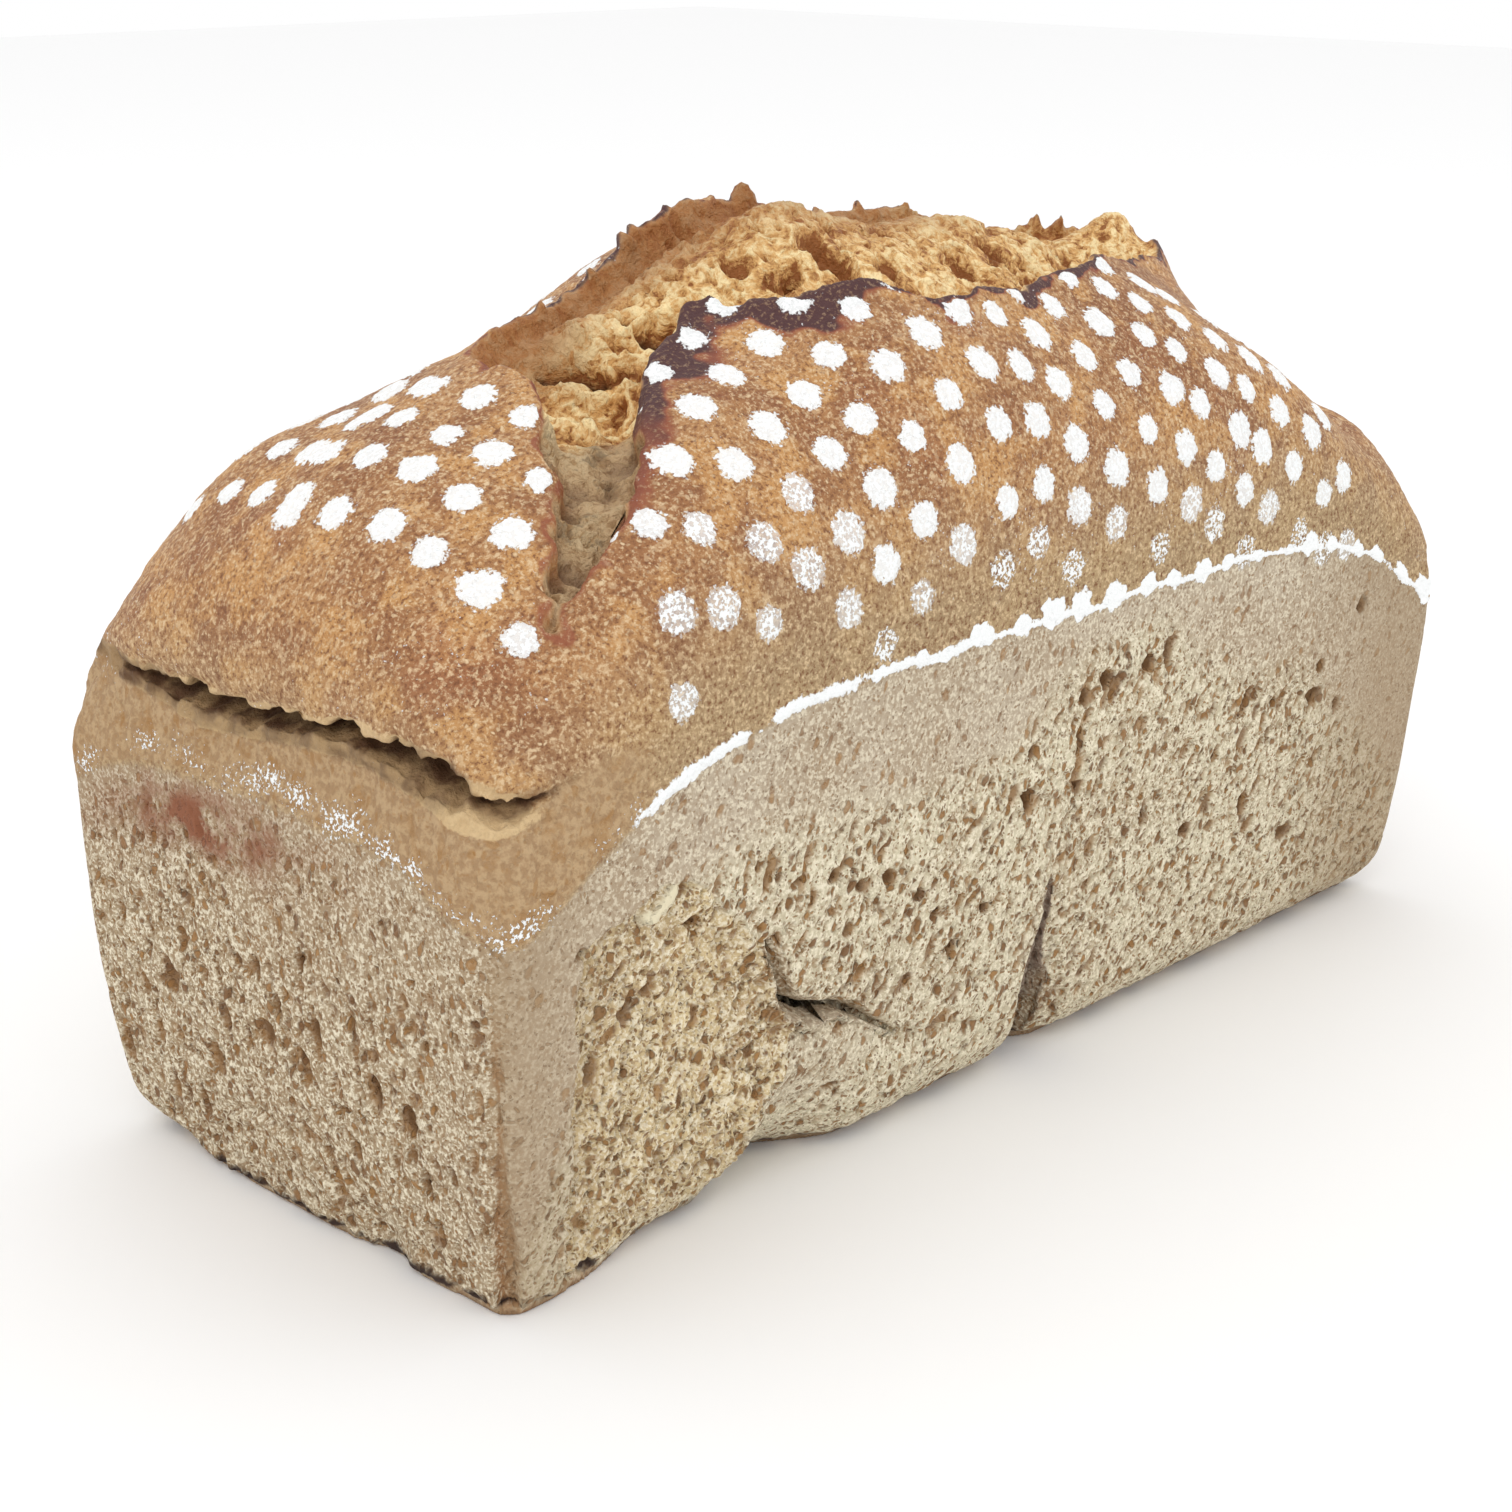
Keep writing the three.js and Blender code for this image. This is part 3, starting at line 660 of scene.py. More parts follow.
lumpEdge = (hump(lump - 0.4, 0.9) - 0.9 * hump(lump + 1.2, 0.9)) * onEnd
kernel = np.zeros(len(places))
for kx, kz, kLong, kWide, lean in kernels:
    ax = ((x - kx) * math.sin(lean) + (z - kz) * math.cos(lean)) / kLong
    bx = ((x - kx) * math.cos(lean) - (z - kz) * math.sin(lean)) / kWide
    kernel = np.maximum(kernel, np.sqrt(np.maximum(1 - ax ** 2 - bx ** 2, 0)) * nearWall)
pitted *= 1 - ramp(0, 0.3, kernel)
patchMask *= 1 - ramp(0, 0.3, kernel)
depth = wallish * pitted + roughened + carve["patch"] * patchMask - carve["patchLip"] * patchEdge
depth += laps
depth -= kernel + carve["lumpLip"] * lumpEdge * wall

# corner seam: a thin line that opens into a groove towards the base
seamLean = 6 * ramp(60, 0, z) ** 2
seamX, seamY = x + 137.2 - seamLean, y + 57.2 - seamLean
seamAcross = np.abs(seamX - seamY) / math.sqrt(2) + 0.5 * uneven(places, 3, 85)
seamHalf = 0.3 + 1.5 * ramp(32, 14, z)
seam = ramp(seamHalf + 0.5, seamHalf - 0.2, seamAcross) * ramp(58, 44, z) * (seamX + seamY < 14) * wall
depth += seam * (carve["seam"] + carve["seamFoot"] * ramp(30, 12, z) + 0.5 * uneven(places, 1.8, 86))

# torn crumb: crags, gas cells and fine crumbs
crumbPits = {
    "big": {"cell": 10, "size": (2.2, 4.4), "share": 0.55, "deepest": 3.2},
    "mid": {"cell": 4.4, "size": (1.3, 2.3), "share": 0.7, "deepest": 1.8},
    "fine": {"cell": 2.0, "size": (0.65, 1.1), "share": 0.85, "deepest": 0.9},
}
onCrumb = crumb > 0.01
crumbWarp = warped(2.0, 6, 91)
cells = {name: bubbles(crumbWarp, inward, pits, 100 * n + 500, (1, 1, 1), onCrumb)
         for n, (name, pits) in enumerate(crumbPits.items())}
crags = carve["crags"] * octaves(crumbWarp, 9, 94, (1.3, 1, 1)) + 0.5
crags -= np.abs(octaves(crumbWarp, 4.2, 95, layers=2))
upright = ramp(0.0, 0.5, nz)
openCells = np.maximum(np.maximum(0.9 * cells["big"], cells["mid"]), cells["fine"])
torn = crumb * (1.0 - crags + upright * openCells - 0.45 * uneven(places, 1.5, 96))
slanting = ramp(-1, 2, insideSlant - insideBurst) * crumb
coarse = carve["slantWaves"] * uneven(places, 7, 87) + carve["slantFlakes"] * uneven(places, 3, 88)
torn += slanting * (coarse + 0.8 * cells["mid"])
for cx, cy, cz, radius, deep in burstCells:
    r = np.sqrt((x - cx) ** 2 + (y - cy) ** 2 + (z - cz) ** 2) / radius + 0.12 * uneven(places, 2.5, 99)
    torn += crumb * deep * (1 - ramp(0.5, 1.05, r))
# the slits' grooves, kept as a mask for painting their shadow
slit = np.zeros(len(places))
for route in burstSlits:
    away, found = routeNear(places, route, "xyz")
    half = found[:, 0] * (1 + 0.5 * uneven(places, 2, 100))
    groove = hump(np.maximum(away - 0.4 * half, 0), half)
    torn += crumb * (groove * found[:, 1] - carve["slitLip"] * hump(away - 3.4 * half, 1.6))
    slit = np.maximum(slit, groove)
cliff = carve["cliff"] + carve["cliffInside"] * ramp(0, 6, insideTorn)
cliff *= ramp(0, 1.4, insideTorn) * onCrown
crest = (0.3 + 0.7 * ramp(0, 5, intoFar)) * (1 - 0.65 * ramp(58, 88, x))
sunk = (torn + cliff) * np.where(insideSlant > 0, 1, crest)
spikes = np.maximum(uneven(places, 3.0, 97), 0) ** 2 * carve["spikes"]
spikes += np.maximum(uneven(places, 1.5, 98), 0) * carve["crumbs"]
farLip = hump(insideTorn - 0.2, 1.5) * ramp(6, 0, np.abs(y - farY)) * ramp(-80, -60, x)
depth -= spikes * farLip * upright
print("crumb")

# crust: fine bumps and blisters; wrinkled skin and jagged lips round the end tear
bumps = carve["bumps"] * octaves(places, 2.2, 111) + carve["waves"] * octaves(places, 7, 112)
depth -= dome * bumps
skinBand = unit(onEnd + onNear * ramp(-100, -112, x))
skinBand *= ramp(0, 2, above) * ramp(2, -1, tearRise)
wrinkles = carve["wrinkles"] * uneven(places, 1.7, 113, (1, 1, 2.4))
wrinkles += carve["folds"] * uneven(places, 4, 114, (1, 1, 2))
depth -= skinBand * wrinkles
flaky = carve["lipFine"] * uneven(places, 1.7, 121) + carve["lipWide"] * uneven(places, 3.5, 122)
depth -= tearLip * flaky

depth *= 1 - under
# the lowest 6 mm of the walls: chipped and waved, and in the finish darkened as painted shadow along the
# foot
baseEdge = ramp(6, 0, z) * (1 - under)
depth += carve["notchMouth"] * hump(x - 0.5, 3.5) * ramp(34, 12, z) * nearWall
chips = carve["chips"] * np.maximum(uneven(places, 5, 131, (1, 1, 3)), -0.2)
depth += baseEdge * (chips + carve["baseWaves"] * uneven(places, 2, 132))
sinkWay = carve["sinkIn"] * outward + (0, 0, carve["sinkDown"])
sinkWay /= np.maximum(np.linalg.norm(sinkWay, axis=1), 0.3)[:, None]
carved = places - outward * depth[:, None] - sinkWay * sunk[:, None]


# flour dots, in rows down both flanks of the dome
flourDots = {
    "radius": 3.2, "sizes": (0.86, 0.28), "rowStep": 11.5, "rows": (-3, 5), "jitter": 1.6,
    # how far down the near flank the middle row is, and how it falls away to both ends
    "middleDrop": -41.5, "leftSlope": 0.27, "rightSlope": 0.42, "leftCurve": 0.012,
    "columns": [-98, -87, -75.5, -64.5, -54, -44, -34, -23, -10, -0.5, 8, 17, 28, 38, 46, 56,
                64, 74, 84, 95],
    # the part of the dome that these rows fill: from and to x, and from and to along the flank
    "reach": (-99, 104), "flank": (-93, -14), "leftPart": (-80, -38),
    # the tilted grid over the left end: its first dot, and the steps per column and per row
    "endStart": (-123.5, 5), "endColumn": (9.3, 3.2), "endRow": (0.8, -10.7),
    "endReach": (-86, -52, -4),
}


def crustSection(atX):
    # the dome's outline across the loaf at one x: arc length, y and z from the crown down
    v = np.concatenate([np.linspace(0, 0.97, 60), np.full(30, 0.97)])
    u = np.full(len(v), np.clip(atX / halfLength, -0.985, 0.985))
    y = v * halfWidth
    z = domeHeight(u, v) + swellsAt(atX, y)
    rimZ = rimAt(u, np.ones(len(v)))
    z[60:] = np.linspace(z[59], rimZ[0], 30)
    y[60:] = np.linspace(y[59], halfWidth - 0.3, 30)
    s = np.concatenate([[0], np.cumsum(np.hypot(np.diff(y), np.diff(z)))])
    return s, y, z


def dotCentres():
    rule = flourDots
    (fromX, toX), (lowest, highest) = rule["reach"], rule["flank"]
    partX, partS = rule["leftPart"]
    endX, endS, farS = rule["endReach"]
    spots = []
    for side in (-1, 1):
        for row in range(*rule["rows"]):
            for n, column in enumerate(rule["columns"]):
                lean = -2.4 + 2.4 * float(ramp(-10, 38, column)) + 2 * float(ramp(38, 90, column))
                atX = column + row * lean
                s = rule["middleDrop"] - rule["leftSlope"] * max(-8 - atX, 0)
                s -= rule["rightSlope"] * max(atX + 8, 0)
                s -= rule["rowStep"] * row + rule["leftCurve"] * max(-68 - atX, 0) ** 2
                inReach = fromX <= atX <= toX and lowest + 14 * ramp(-40, -75, atX) <= s <= highest
                if inReach and not (atX < partX and s > partS):
                    spots.append((atX, s, side, n * 8 + row))
        for column in range(5):
            for row in range(6):
                atX = rule["endStart"][0] + rule["endColumn"][0] * column + rule["endRow"][0] * row
                s = rule["endStart"][1] + rule["endRow"][1] * row + rule["endColumn"][1] * column
                if atX < endX and s > endS and (side < 0 or s < farS):
                    spots.append((atX, s, side, 300 + column * 7 + row))
    centres = []
    least, more = rule["sizes"]
    for atX, s, side, n in spots:
        alongX, down, size = (cellValue(n, k, side, 7) for k in (3, 4, 5))
        atX, s = atX + rule["jitter"] * (alongX - 0.5), s + rule["jitter"] * (down - 0.5)
        arc, ys, zs = crustSection(atX)
        dy, dz = np.interp(abs(s), arc, ys), np.interp(abs(s), arc, zs)
        across = side * dy if s < 0 else -side * dy
        fade = float(max(ramp(-76, -90, s), 0.65 * ramp(-48, -62, atX) * ramp(-40, -62, s), 0.15))
        centres.append((atX, across, dz, rule["radius"] * (least + more * size), fade))
    return np.array(centres)


centres = dotCentres()
dotField = np.full(len(places), 9.0)      # 0 at a dot's middle, 1 at its edge
dotFade = np.zeros(len(places))
for cx, cy, cz, radius, fade in centres:
    close = np.nonzero((np.abs(x - cx) < 8) & (np.abs(y - cy) < 8) & (np.abs(z - cz) < 12))[0]
    off = places[close] - (cx, cy, cz)
    plane = off - (off * outward[close]).sum(1)[:, None] * outward[close]
    r = np.sqrt((plane * plane).sum(1)) / radius
    better = r < dotField[close]
    dotField[close[better]] = r[better]
    dotFade[close[better]] = fade
dotField = np.minimum(dotField + 3 * ramp(-1.5, 0.5, insideTorn), 3)
print("dots", len(centres))

# the flour line along the rim mark, with beads on it, and loose flour at the ends
rimLine = {"beadStep": 9.5, "beadSize": (1.2, 1.9), "beadLeast": 0.3, "high": 0.7, "half": 0.8,
           "endHigh": 3.0, "endHalf": 5, "cornerHigh": 2.0, "cornerHalf": 4.5,
           "relief": 0.25, "beadRelief": 0.8}
beadCell = np.floor(x / rimLine["beadStep"]).astype(np.int64)
beadX = (beadCell + 0.3 + 0.4 * cellValue(beadCell, 1, 0, 147)) * rimLine["beadStep"]
beadLeast, beadMore = rimLine["beadSize"]
beadSize = (beadLeast + beadMore * cellValue(beadCell, 2, 0, 147)) * ramp(-72, -30, x)
beadSize = np.maximum(beadSize, rimLine["beadLeast"])
beadAway = np.hypot((x - beadX) / (1.25 * beadSize), (above - 0.6 * beadSize) / beadSize)
beads = ramp(1.2, 0.7, beadAway + 0.3 * uneven(places, 1.6, 148))
sideLine = unit(onLong + ramp(0.3, 0.6, np.abs(ny))) * ramp(-118, -100, x)
sideLine *= ramp(137, 128, x)
lineHalf = rimLine["half"] + 0.6 * ramp(-10, -60, x)
lineHalf += 0.35 * uneven(places, 4, 144) + 0.3 * uneven(places, 1.6, 145)
ridge = hump(above - rimLine["high"], lineHalf) * ramp(-0.85, -0.35, uneven(places, 8, 146))
ridge = np.maximum(ridge, beads) * sideLine
endBand = hump(above - rimLine["endHigh"], rimLine["endHalf"]) * unit(onEnds)
cornerBand = hump(above - rimLine["cornerHigh"], rimLine["cornerHalf"])
cornerBand *= ramp(-88, -112, x) * unit(onLong)
endFlour = unit(endBand + cornerBand) * (0.75 + 0.5 * uneven(places, 12, 143))
solidFlour = unit(ramp(1.0, 0.8, dotField) * (1 - dotFade) * dome + ridge)
raised = rimLine["relief"] * solidFlour + rimLine["beadRelief"] * ridge * beads
carved += outward * raised[:, None]

low, high = np.array(cadLow) / mm, np.array(cadHigh) / mm
carved = np.clip(carved, low + 0.02, high - 0.02)
carved[under > 0.5, 2] = 0
putPlaces(loaf, carved * mm)

# the dark scorch along the torn lips: how wide it is at each x, and how strong
scorchRule = {
    "reachX": [-112, -98, -84, -76, -62, -40, -30, -20, 98, 110],
    "reach": [2, 3, 4, 6, 12, 13, 7, 2.6, 2, 1],
    "strengthX": [-112, -98, -84, -72, -60, 110],
    "strength": [0.35, 0.4, 0.5, 0.8, 1, 1],
    "farShare": 0.3, "slantShare": 0.5,
}
scorchReach = along(scorchRule["reachX"], scorchRule["reach"], x)
scorchReach *= np.where(y > (nearY + farY) / 2, scorchRule["farShare"], 1)
scorchReach *= np.where((y > x + 68) & (x < -74), scorchRule["slantShare"], 1)
scorchReach *= 1 + 0.5 * uneven(places, 7, 151) + 0.35 * uneven(places, 3, 153)
scorch = ramp(scorchReach, 0.35 * scorchReach, -insideTorn + 1.2 * uneven(places, 2, 152))
scorch *= along(scorchRule["strengthX"], scorchRule["strength"], x) * (insideTorn < 0.6) * onCrown
attributes = {
    "wallMask": wall,
    "spongeMask": sponge,
    # painted shade in the wall pits: how deep each pit is, so that its brown darkens with depth
    "pitDepth": unit(wallish * pitted / 2.0),
    "endMask": unit(onEnds),
    "crumbMask": crumb * onCrown,
    # painted shade in the torn crumb: darker where the crumb sinks deeper
    "crumbDeep": unit(torn / 6 + 0.4),
    "slantLow": ramp(0.3, 1.0, ramp(134, 122, z) + ramp(-14, -24, y)) * ramp(-70, -78, x) * crumb,
    "slit": slit * crumb,
    "kernel": unit(3 * kernel),
    "farBurst": ramp(0.35, 0.85, burstT) * (1 - ramp(20, 70, x) * 0.6) * crumb,
    # painted shade on the inner sides of the notch, the faces turned from the front
    "notchTone": ramp(6.5, 3.5, np.abs(x - 2.5)) * ramp(44, 36, z) * onWalls * (y < 0)
    * ramp(-0.95, -0.75, ny),
    "cornerTone": np.maximum(ramp(104, 134, -x), ramp(70, 120, x)) * unit(onLong) * wall,
    "skinBand": unit(skinBand),
    "aboveRim": above,
    "dotField": dotField,
    "dotFade": dotFade,
    "rimFlour": unit(ridge),
    "endFlour": endFlour,
    "patchMask": patchMask,
    "tearLip": tearLip,
    "tearHeart": tearHeart,
    "seamMask": seam,
    "underMask": under,
    # the foot of the walls, for its painted shadow
    "baseEdge": baseEdge,
    "scorch": unit(scorch * (1 - crumb)),
    "lipEdge": hump(insideTorn + 0.7, 1.3) * onCrown,
    "redPatch": (hump(y - 15, 26) * onEnd + hump(y + 15, 26) * onRight) * hump(rim - z - 7, 6),
}


# the loaf is cut into lengths, so that each stays a light mesh
loaf.data.update()
finalNormals = outwardOf(loaf)
quads = np.empty(len(loaf.data.loops), np.int64)
loaf.data.loops.foreach_get("vertex_index", quads)
quads = quads.reshape(-1, 4)


def makeBlock(name, fromX, toX):
    # one length of the loaf, closed at its cuts
    spare = 2.5
    cx = carved[quads][:, :, 0]
    keep = (cx.max(1) > fromX - spare) & (cx.min(1) < toX + spare)
    faces = quads[keep]
    used, faces = np.unique(faces, return_inverse=True)
    faces = faces.reshape(-1, 4)
    mesh = bpy.data.meshes.new(name)
    mesh.vertices.add(len(used))
    mesh.vertices.foreach_set("co", (carved[used] * mm).ravel())
    mesh.loops.add(len(faces) * 4)
    mesh.loops.foreach_set("vertex_index", faces.ravel().astype(np.int32))
    mesh.polygons.add(len(faces))
    mesh.polygons.foreach_set("loop_start", np.arange(len(faces), dtype=np.int32) * 4)
    mesh.update(calc_edges=True)
    for key, values in attributes.items():
        mesh.attributes.new(key, "FLOAT", "POINT").data.foreach_set("value", values[used].astype(np.float32))
    holder = mesh.attributes.new("wholeNormal", "FLOAT_VECTOR", "POINT")
    holder.data.foreach_set("vector", finalNormals[used].astype(np.float32).ravel())
    block = bpy.data.objects.new(name, mesh)
    bpy.context.scene.collection.objects.link(block)
    pickOnly(block)
    setMode("EDIT")
    bpy.ops.mesh.select_mode(type="EDGE")
    for at, outer in ((fromX, False), (toX, True)):
        if abs(at) < halfLength:
            bpy.ops.mesh.select_all(action="SELECT")
            bpy.ops.mesh.bisect(plane_co=(at * mm, 0, 0), plane_no=(1, 0, 0), use_fill=False,
                                clear_inner=not outer, clear_outer=outer)
            bpy.ops.mesh.extrude_edges_move()
            bpy.ops.mesh.merge(type="CENTER")
    setMode("OBJECT")
    bpy.ops.object.shade_smooth()
    count = len(mesh.vertices)
    normals = np.empty(count * 3, np.float32)
    mesh.attributes["wholeNormal"].data.foreach_get("vector", normals)
    normals = normals.reshape(-1, 3)
    normals /= np.maximum(np.linalg.norm(normals, axis=1), 1e-6)[:, None]
    mesh.normals_split_custom_set_from_vertices(normals)
    mesh.attributes.remove(mesh.attributes["wholeNormal"])
    return block


blockCuts = [-200, -122, -93, -62, -31, 0, 31, 62, 93, 122, 200]
blocks = []
for n, (fromX, toX) in enumerate(zip(blockCuts[:-1], blockCuts[1:])):
    block = makeBlock(f"crustBlock{n + 1}", fromX, toX)
    triangles = sum(len(p.vertices) - 2 for p in block.data.polygons)
    print(block.name, triangles)
    blocks.append(block)
bpy.data.objects.remove(loaf)


class Wire:
    # one socket, so that shader maths reads as plain expressions
    def __init__(self, tree, socket):
        self.tree, self.socket = tree, socket

    def math(self, operation, *others):
        made = self.tree.nodes.new("ShaderNodeMath")
        made.operation = operation
        for slot, value in zip(made.inputs, (self, *others)):
            feed(self.tree, slot, value)
        return Wire(self.tree, made.outputs[0])

    def __add__(self, other):
        return self.math("ADD", other)

    def __sub__(self, other):
        return self.math("SUBTRACT", other)

    def __rsub__(self, other):
        return self * -1 + other

    def __mul__(self, other):
        return self.math("MULTIPLY", other)

    __radd__ = __add__
    __rmul__ = __mul__

    def also(self, name):
        # another output of the same node
        return Wire(self.tree, self.socket.node.outputs[name])

    def clamped(self):
        return self.math("MAXIMUM", 0).math("MINIMUM", 1)

    def most(self, other):
        return self.math("MAXIMUM", other)


def feed(tree, slot, value):
    if isinstance(value, Wire):
        tree.links.new(value.socket, slot)
    else:
        slot.default_value = value


class Finish:
    # a material being wired: node() adds any node, the rest are short names for common ones
    def __init__(self, name):
        self.material = bpy.data.materials.new(name)
        self.material.use_nodes = True
        self.tree = self.material.node_tree
        self.shader = self.tree.nodes["Principled BSDF"]
        self.place = Wire(self.tree, self.tree.nodes.new("ShaderNodeTexCoord").outputs["Object"])

    def node(self, kind, settings=None, values=None, out=0):
        made = self.tree.nodes.new(kind)
        for key, value in (settings or {}).items():
            if key == "stops":
                ramp = made.color_ramp
                while len(ramp.elements) < len(value):
                    ramp.elements.new(0.5)
                for element, (position, colour) in zip(ramp.elements, value):
                    element.position, element.color = position, (*colour, 1)
            else:
                setattr(made, key, value)
        for key, value in (values or {}).items():
            feed(self.tree, made.inputs[key], value)
        return Wire(self.tree, made.outputs[out])

    def read(self, name):
        return self.node("ShaderNodeAttribute", {"attribute_name": name}, out="Fac")

    def noise(self, scale, detail=3, rough=0.55, place=None):
        return self.node("ShaderNodeTexNoise", None, {
            "Vector": place or self.place, "Scale": scale, "Detail": detail, "Roughness": rough})

    def pores(self, scale, place, share, least, most):
        # round spots, each of its own size, in a share of the cells; and each one's own tint
        cell = self.node("ShaderNodeTexVoronoi", {"feature": "F1"}, {"Vector": place, "Scale": scale})
        own = self.node("ShaderNodeSeparateColor", None, {"Color": cell.also("Color")})
        radius = own.also("Red") * (most - least) + least
        there = own.also("Green").math("LESS_THAN", share)
        return ((radius - cell) * 6).clamped() * there, own.also("Blue")

    def between(self, value, low, high, toLow=0.0, toHigh=1.0):
        return self.node("ShaderNodeMapRange", {"interpolation_type": "SMOOTHSTEP"}, {
            "Value": value, "From Min": low, "From Max": high, "To Min": toLow, "To Max": toHigh})

    def layered(self, under, *layers):
        # lays colours over one another: each layer is its share and its colour
        for share, over in layers:
            made = self.tree.nodes.new("ShaderNodeMix")
            made.data_type, made.clamp_factor = "RGBA", True
            for slot, value in zip((0, 6, 7), (share, under, over)):
                value = (*crustColours[value], 1) if isinstance(value, str) else value
                feed(self.tree, made.inputs[slot], value)
            under = Wire(self.tree, made.outputs[2])
        return under

    def set(self, **values):
        for key, value in values.items():
            feed(self.tree, self.shader.inputs[key.replace("_", " ")], value)


def colour(red, green, blue):
    # a colour as seen, 0 to 255, turned to linear light
    parts = [c / 255 for c in (red, green, blue)]
    return tuple(c / 12.92 if c <= 0.04045 else ((c + 0.055) / 1.055) ** 2.4 for c in parts)


# the crust's colours as seen, 0 to 255; painted shade among them: the darkest pit brown, the pore browns in
# part, the dark in the end tear's gap and the slits, the near-black at the foot and the notch's purple-grey;
# the crumb's darkest and palest tones are painted shade and highlight in part
crustColours = {name: colour(*seen) for name, seen in {
    "skin": (182, 166, 144), "skinDark": (150, 122, 92), "sponge": (205, 195, 167),
    "ridge": (238, 228, 203), "pore": (122, 87, 56), "poreGold": (160, 118, 69),
    "pitShade": (118, 86, 54), "endSkin": (154, 128, 96), "patch": (212, 191, 148),
    "red": (138, 87, 61), "seam": (150, 110, 72), "notch": (112, 92, 82),
    "kernel": (224, 213, 182), "under": (150, 112, 76), "footShadow": (60, 44, 38),
    "dome": (180, 132, 84), "domeDark": (148, 98, 60), "domeRed": (164, 104, 66),
    "domeGold": (204, 152, 90), "domeSpeck": (118, 72, 42), "domePale": (226, 198, 158),
    "shoulder": (168, 147, 112), "band": (166, 134, 98), "bandPale": (188, 158, 120),
    "scorch": (78, 46, 46), "scorchRed": (146, 80, 54),
    "crumbBrownShade": (148, 90, 42), "crumb": (224, 176, 110), "crumbPaleHighlight": (255, 232, 178),
    "crumbGrey": (190, 163, 127), "farLip": (156, 98, 50), "torn": (222, 193, 146),
    "gapShadow": (92, 62, 38), "tearCrumb": (160, 130, 92), "tearShade": (112, 88, 66),
    "flour": (248, 250, 250),
}.items()}
# how fine each pattern is, in cells to the metre, and how strongly the patterns stand out
crustGrain = {
    "speck": 1500, "spots": 760, "mottle": 170, "broad": 40, "flakes": 620, "flour": 1100,
    "pores": 560, "finePores": 1150, "grains": 1050, "domeSpots": 1250, "gold": 95, "dark": 60,
    "wander": 0.005, "lean": 0.4, "tall": 1.6, "relief": 0.0007, "reliefStrength": 0.75,
}

crust = Finish("grainCrust")
fine = crustGrain
between, read = crust.between, crust.read
speck = crust.noise(fine["speck"], 2)
spots = crust.noise(fine["spots"], 2, 0.6)
mottle = crust.noise(fine["mottle"])
broad = crust.noise(fine["broad"])
bent = crust.node("ShaderNodeVectorMath", {"operation": "MULTIPLY_ADD"}, {
    0: mottle.also("Color"), 1: (fine["wander"],) * 3, 2: crust.place})
leaning = crust.node("ShaderNodeMapping", {"vector_type": "TEXTURE"}, {
    "Vector": bent, "Rotation": (0, fine["lean"], 0), "Scale": (1, 1, fine["tall"])})
flakes = crust.noise(fine["flakes"], 3, 0.7, bent)
sponge, endMask, band = read("spongeMask"), read("endMask"), read("skinBand")
pitShade, above, crumbMask = read("pitDepth"), read("aboveRim"), read("crumbMask")

# the walls: pores in two sizes between pale ridges; the pores' brown is partly the crust's own colour and
# partly painted shade in the holes
openness = (sponge + endMask * 0.4).clamped()
pores, poreTint = crust.pores(fine["pores"], leaning, openness * 0.6 + 0.2, 0.24, 0.52)
finePores, _ = crust.pores(fine["finePores"], bent, openness * 0.25 + 0.62, 0.22, 0.46)
poreColour = crust.layered("pore", (poreTint, "poreGold"))
redness = (read("redPatch") * between(mottle + speck * 0.4, 0.45, 0.85) * 1.3).clamped()
wallColour = crust.layered(
    "skin",
    (sponge, "sponge"),
    (read("patchMask"), "patch"),
    (endMask * 0.75, "endSkin"),
    (between(broad, 0.4, 0.7) * 0.4, "endSkin"),
    (between(spots, 0.53, 0.68) * (sponge * 0.35 + 0.4), "skinDark"),
    (between(spots, 0.47, 0.34) * (sponge * 0.4 + 0.2), "ridge"),
    (between(speck, 0.46, 0.64) * (sponge * 0.3 + 0.6), "ridge"),
    # the pores' brown: own colour and, in part, painted shade inside the holes
    (finePores * (openness * 0.25 + 0.6), poreColour),
    (pores * (openness * 0.25 + 0.68), poreColour),
    # painted shade: the pits' brown, darker as the pits get deeper
    (between(pitShade, 0.05, 0.5) * 0.8, poreColour),
    (between(pitShade, 0.5, 1.0), "pitShade"),
    (redness, "red"),
    (read("seamMask") * between(speck, 0.7, 0.4, 0.5, 1), "seam"),
    (read("cornerTone") * 0.6, "endSkin"),
    # painted shade: purple-grey on the notch's inner sides
    (read("notchTone") * 0.75, "notch"),
    (read("kernel"), "kernel"),
)

# the dome: pale and dark specks over a mottled crust, and the skin under the end tear
grains, grainTint = crust.pores(fine["grains"], bent, 0.42, 0.2, 0.48)
domeSpots = crust.noise(fine["domeSpots"], 3, 0.65)
bandColour = crust.layered(
    "band",
    (between(spots, 0.38, 0.62), "bandPale"),
    ((pores * 0.6 + finePores * 0.4).clamped(), "poreGold"),
    (between(mottle, 0.5, 0.64) * 0.5, "poreGold"),
)
scorch = read("scorch")
scorched = (scorch * 2.2).clamped() * between(domeSpots, 0.68, 0.5, 0.7, 1)
domeColour = crust.layered(
    "dome",
    (between(crust.noise(fine["dark"], 4), 0.36, 0.64), "domeDark"),
    (between(broad, 0.5, 0.7) * 0.4, "domeRed"),
    (between(crust.noise(fine["gold"], 4), 0.48, 0.62) * 0.65, "domeGold"),
    (between(above, 34, 4) * 0.8, "shoulder"),
    (between(domeSpots, 0.52, 0.66) * 0.7, "domePale"),
    (between(domeSpots, 0.47, 0.33) * 0.85, "domeSpeck"),
    (between(spots, 0.54, 0.66) * 0.35, "domePale"),
    (between(spots, 0.45, 0.34) * 0.4, "domeSpeck"),
    (grains * (grainTint * 0.7 + 0.2), "domePale"),
    (band, bandColour),
    (scorched, crust.layered("scorchRed", (between(scorch, 0.35, 0.75), "scorch"))),
)

# the torn crumb: warm in the burst, greyer down the slanting tear; its tone is partly painted light, paler
# on the raised flakes as painted highlight and browner where the crumb lies deep as painted shade
deep = read("crumbDeep")
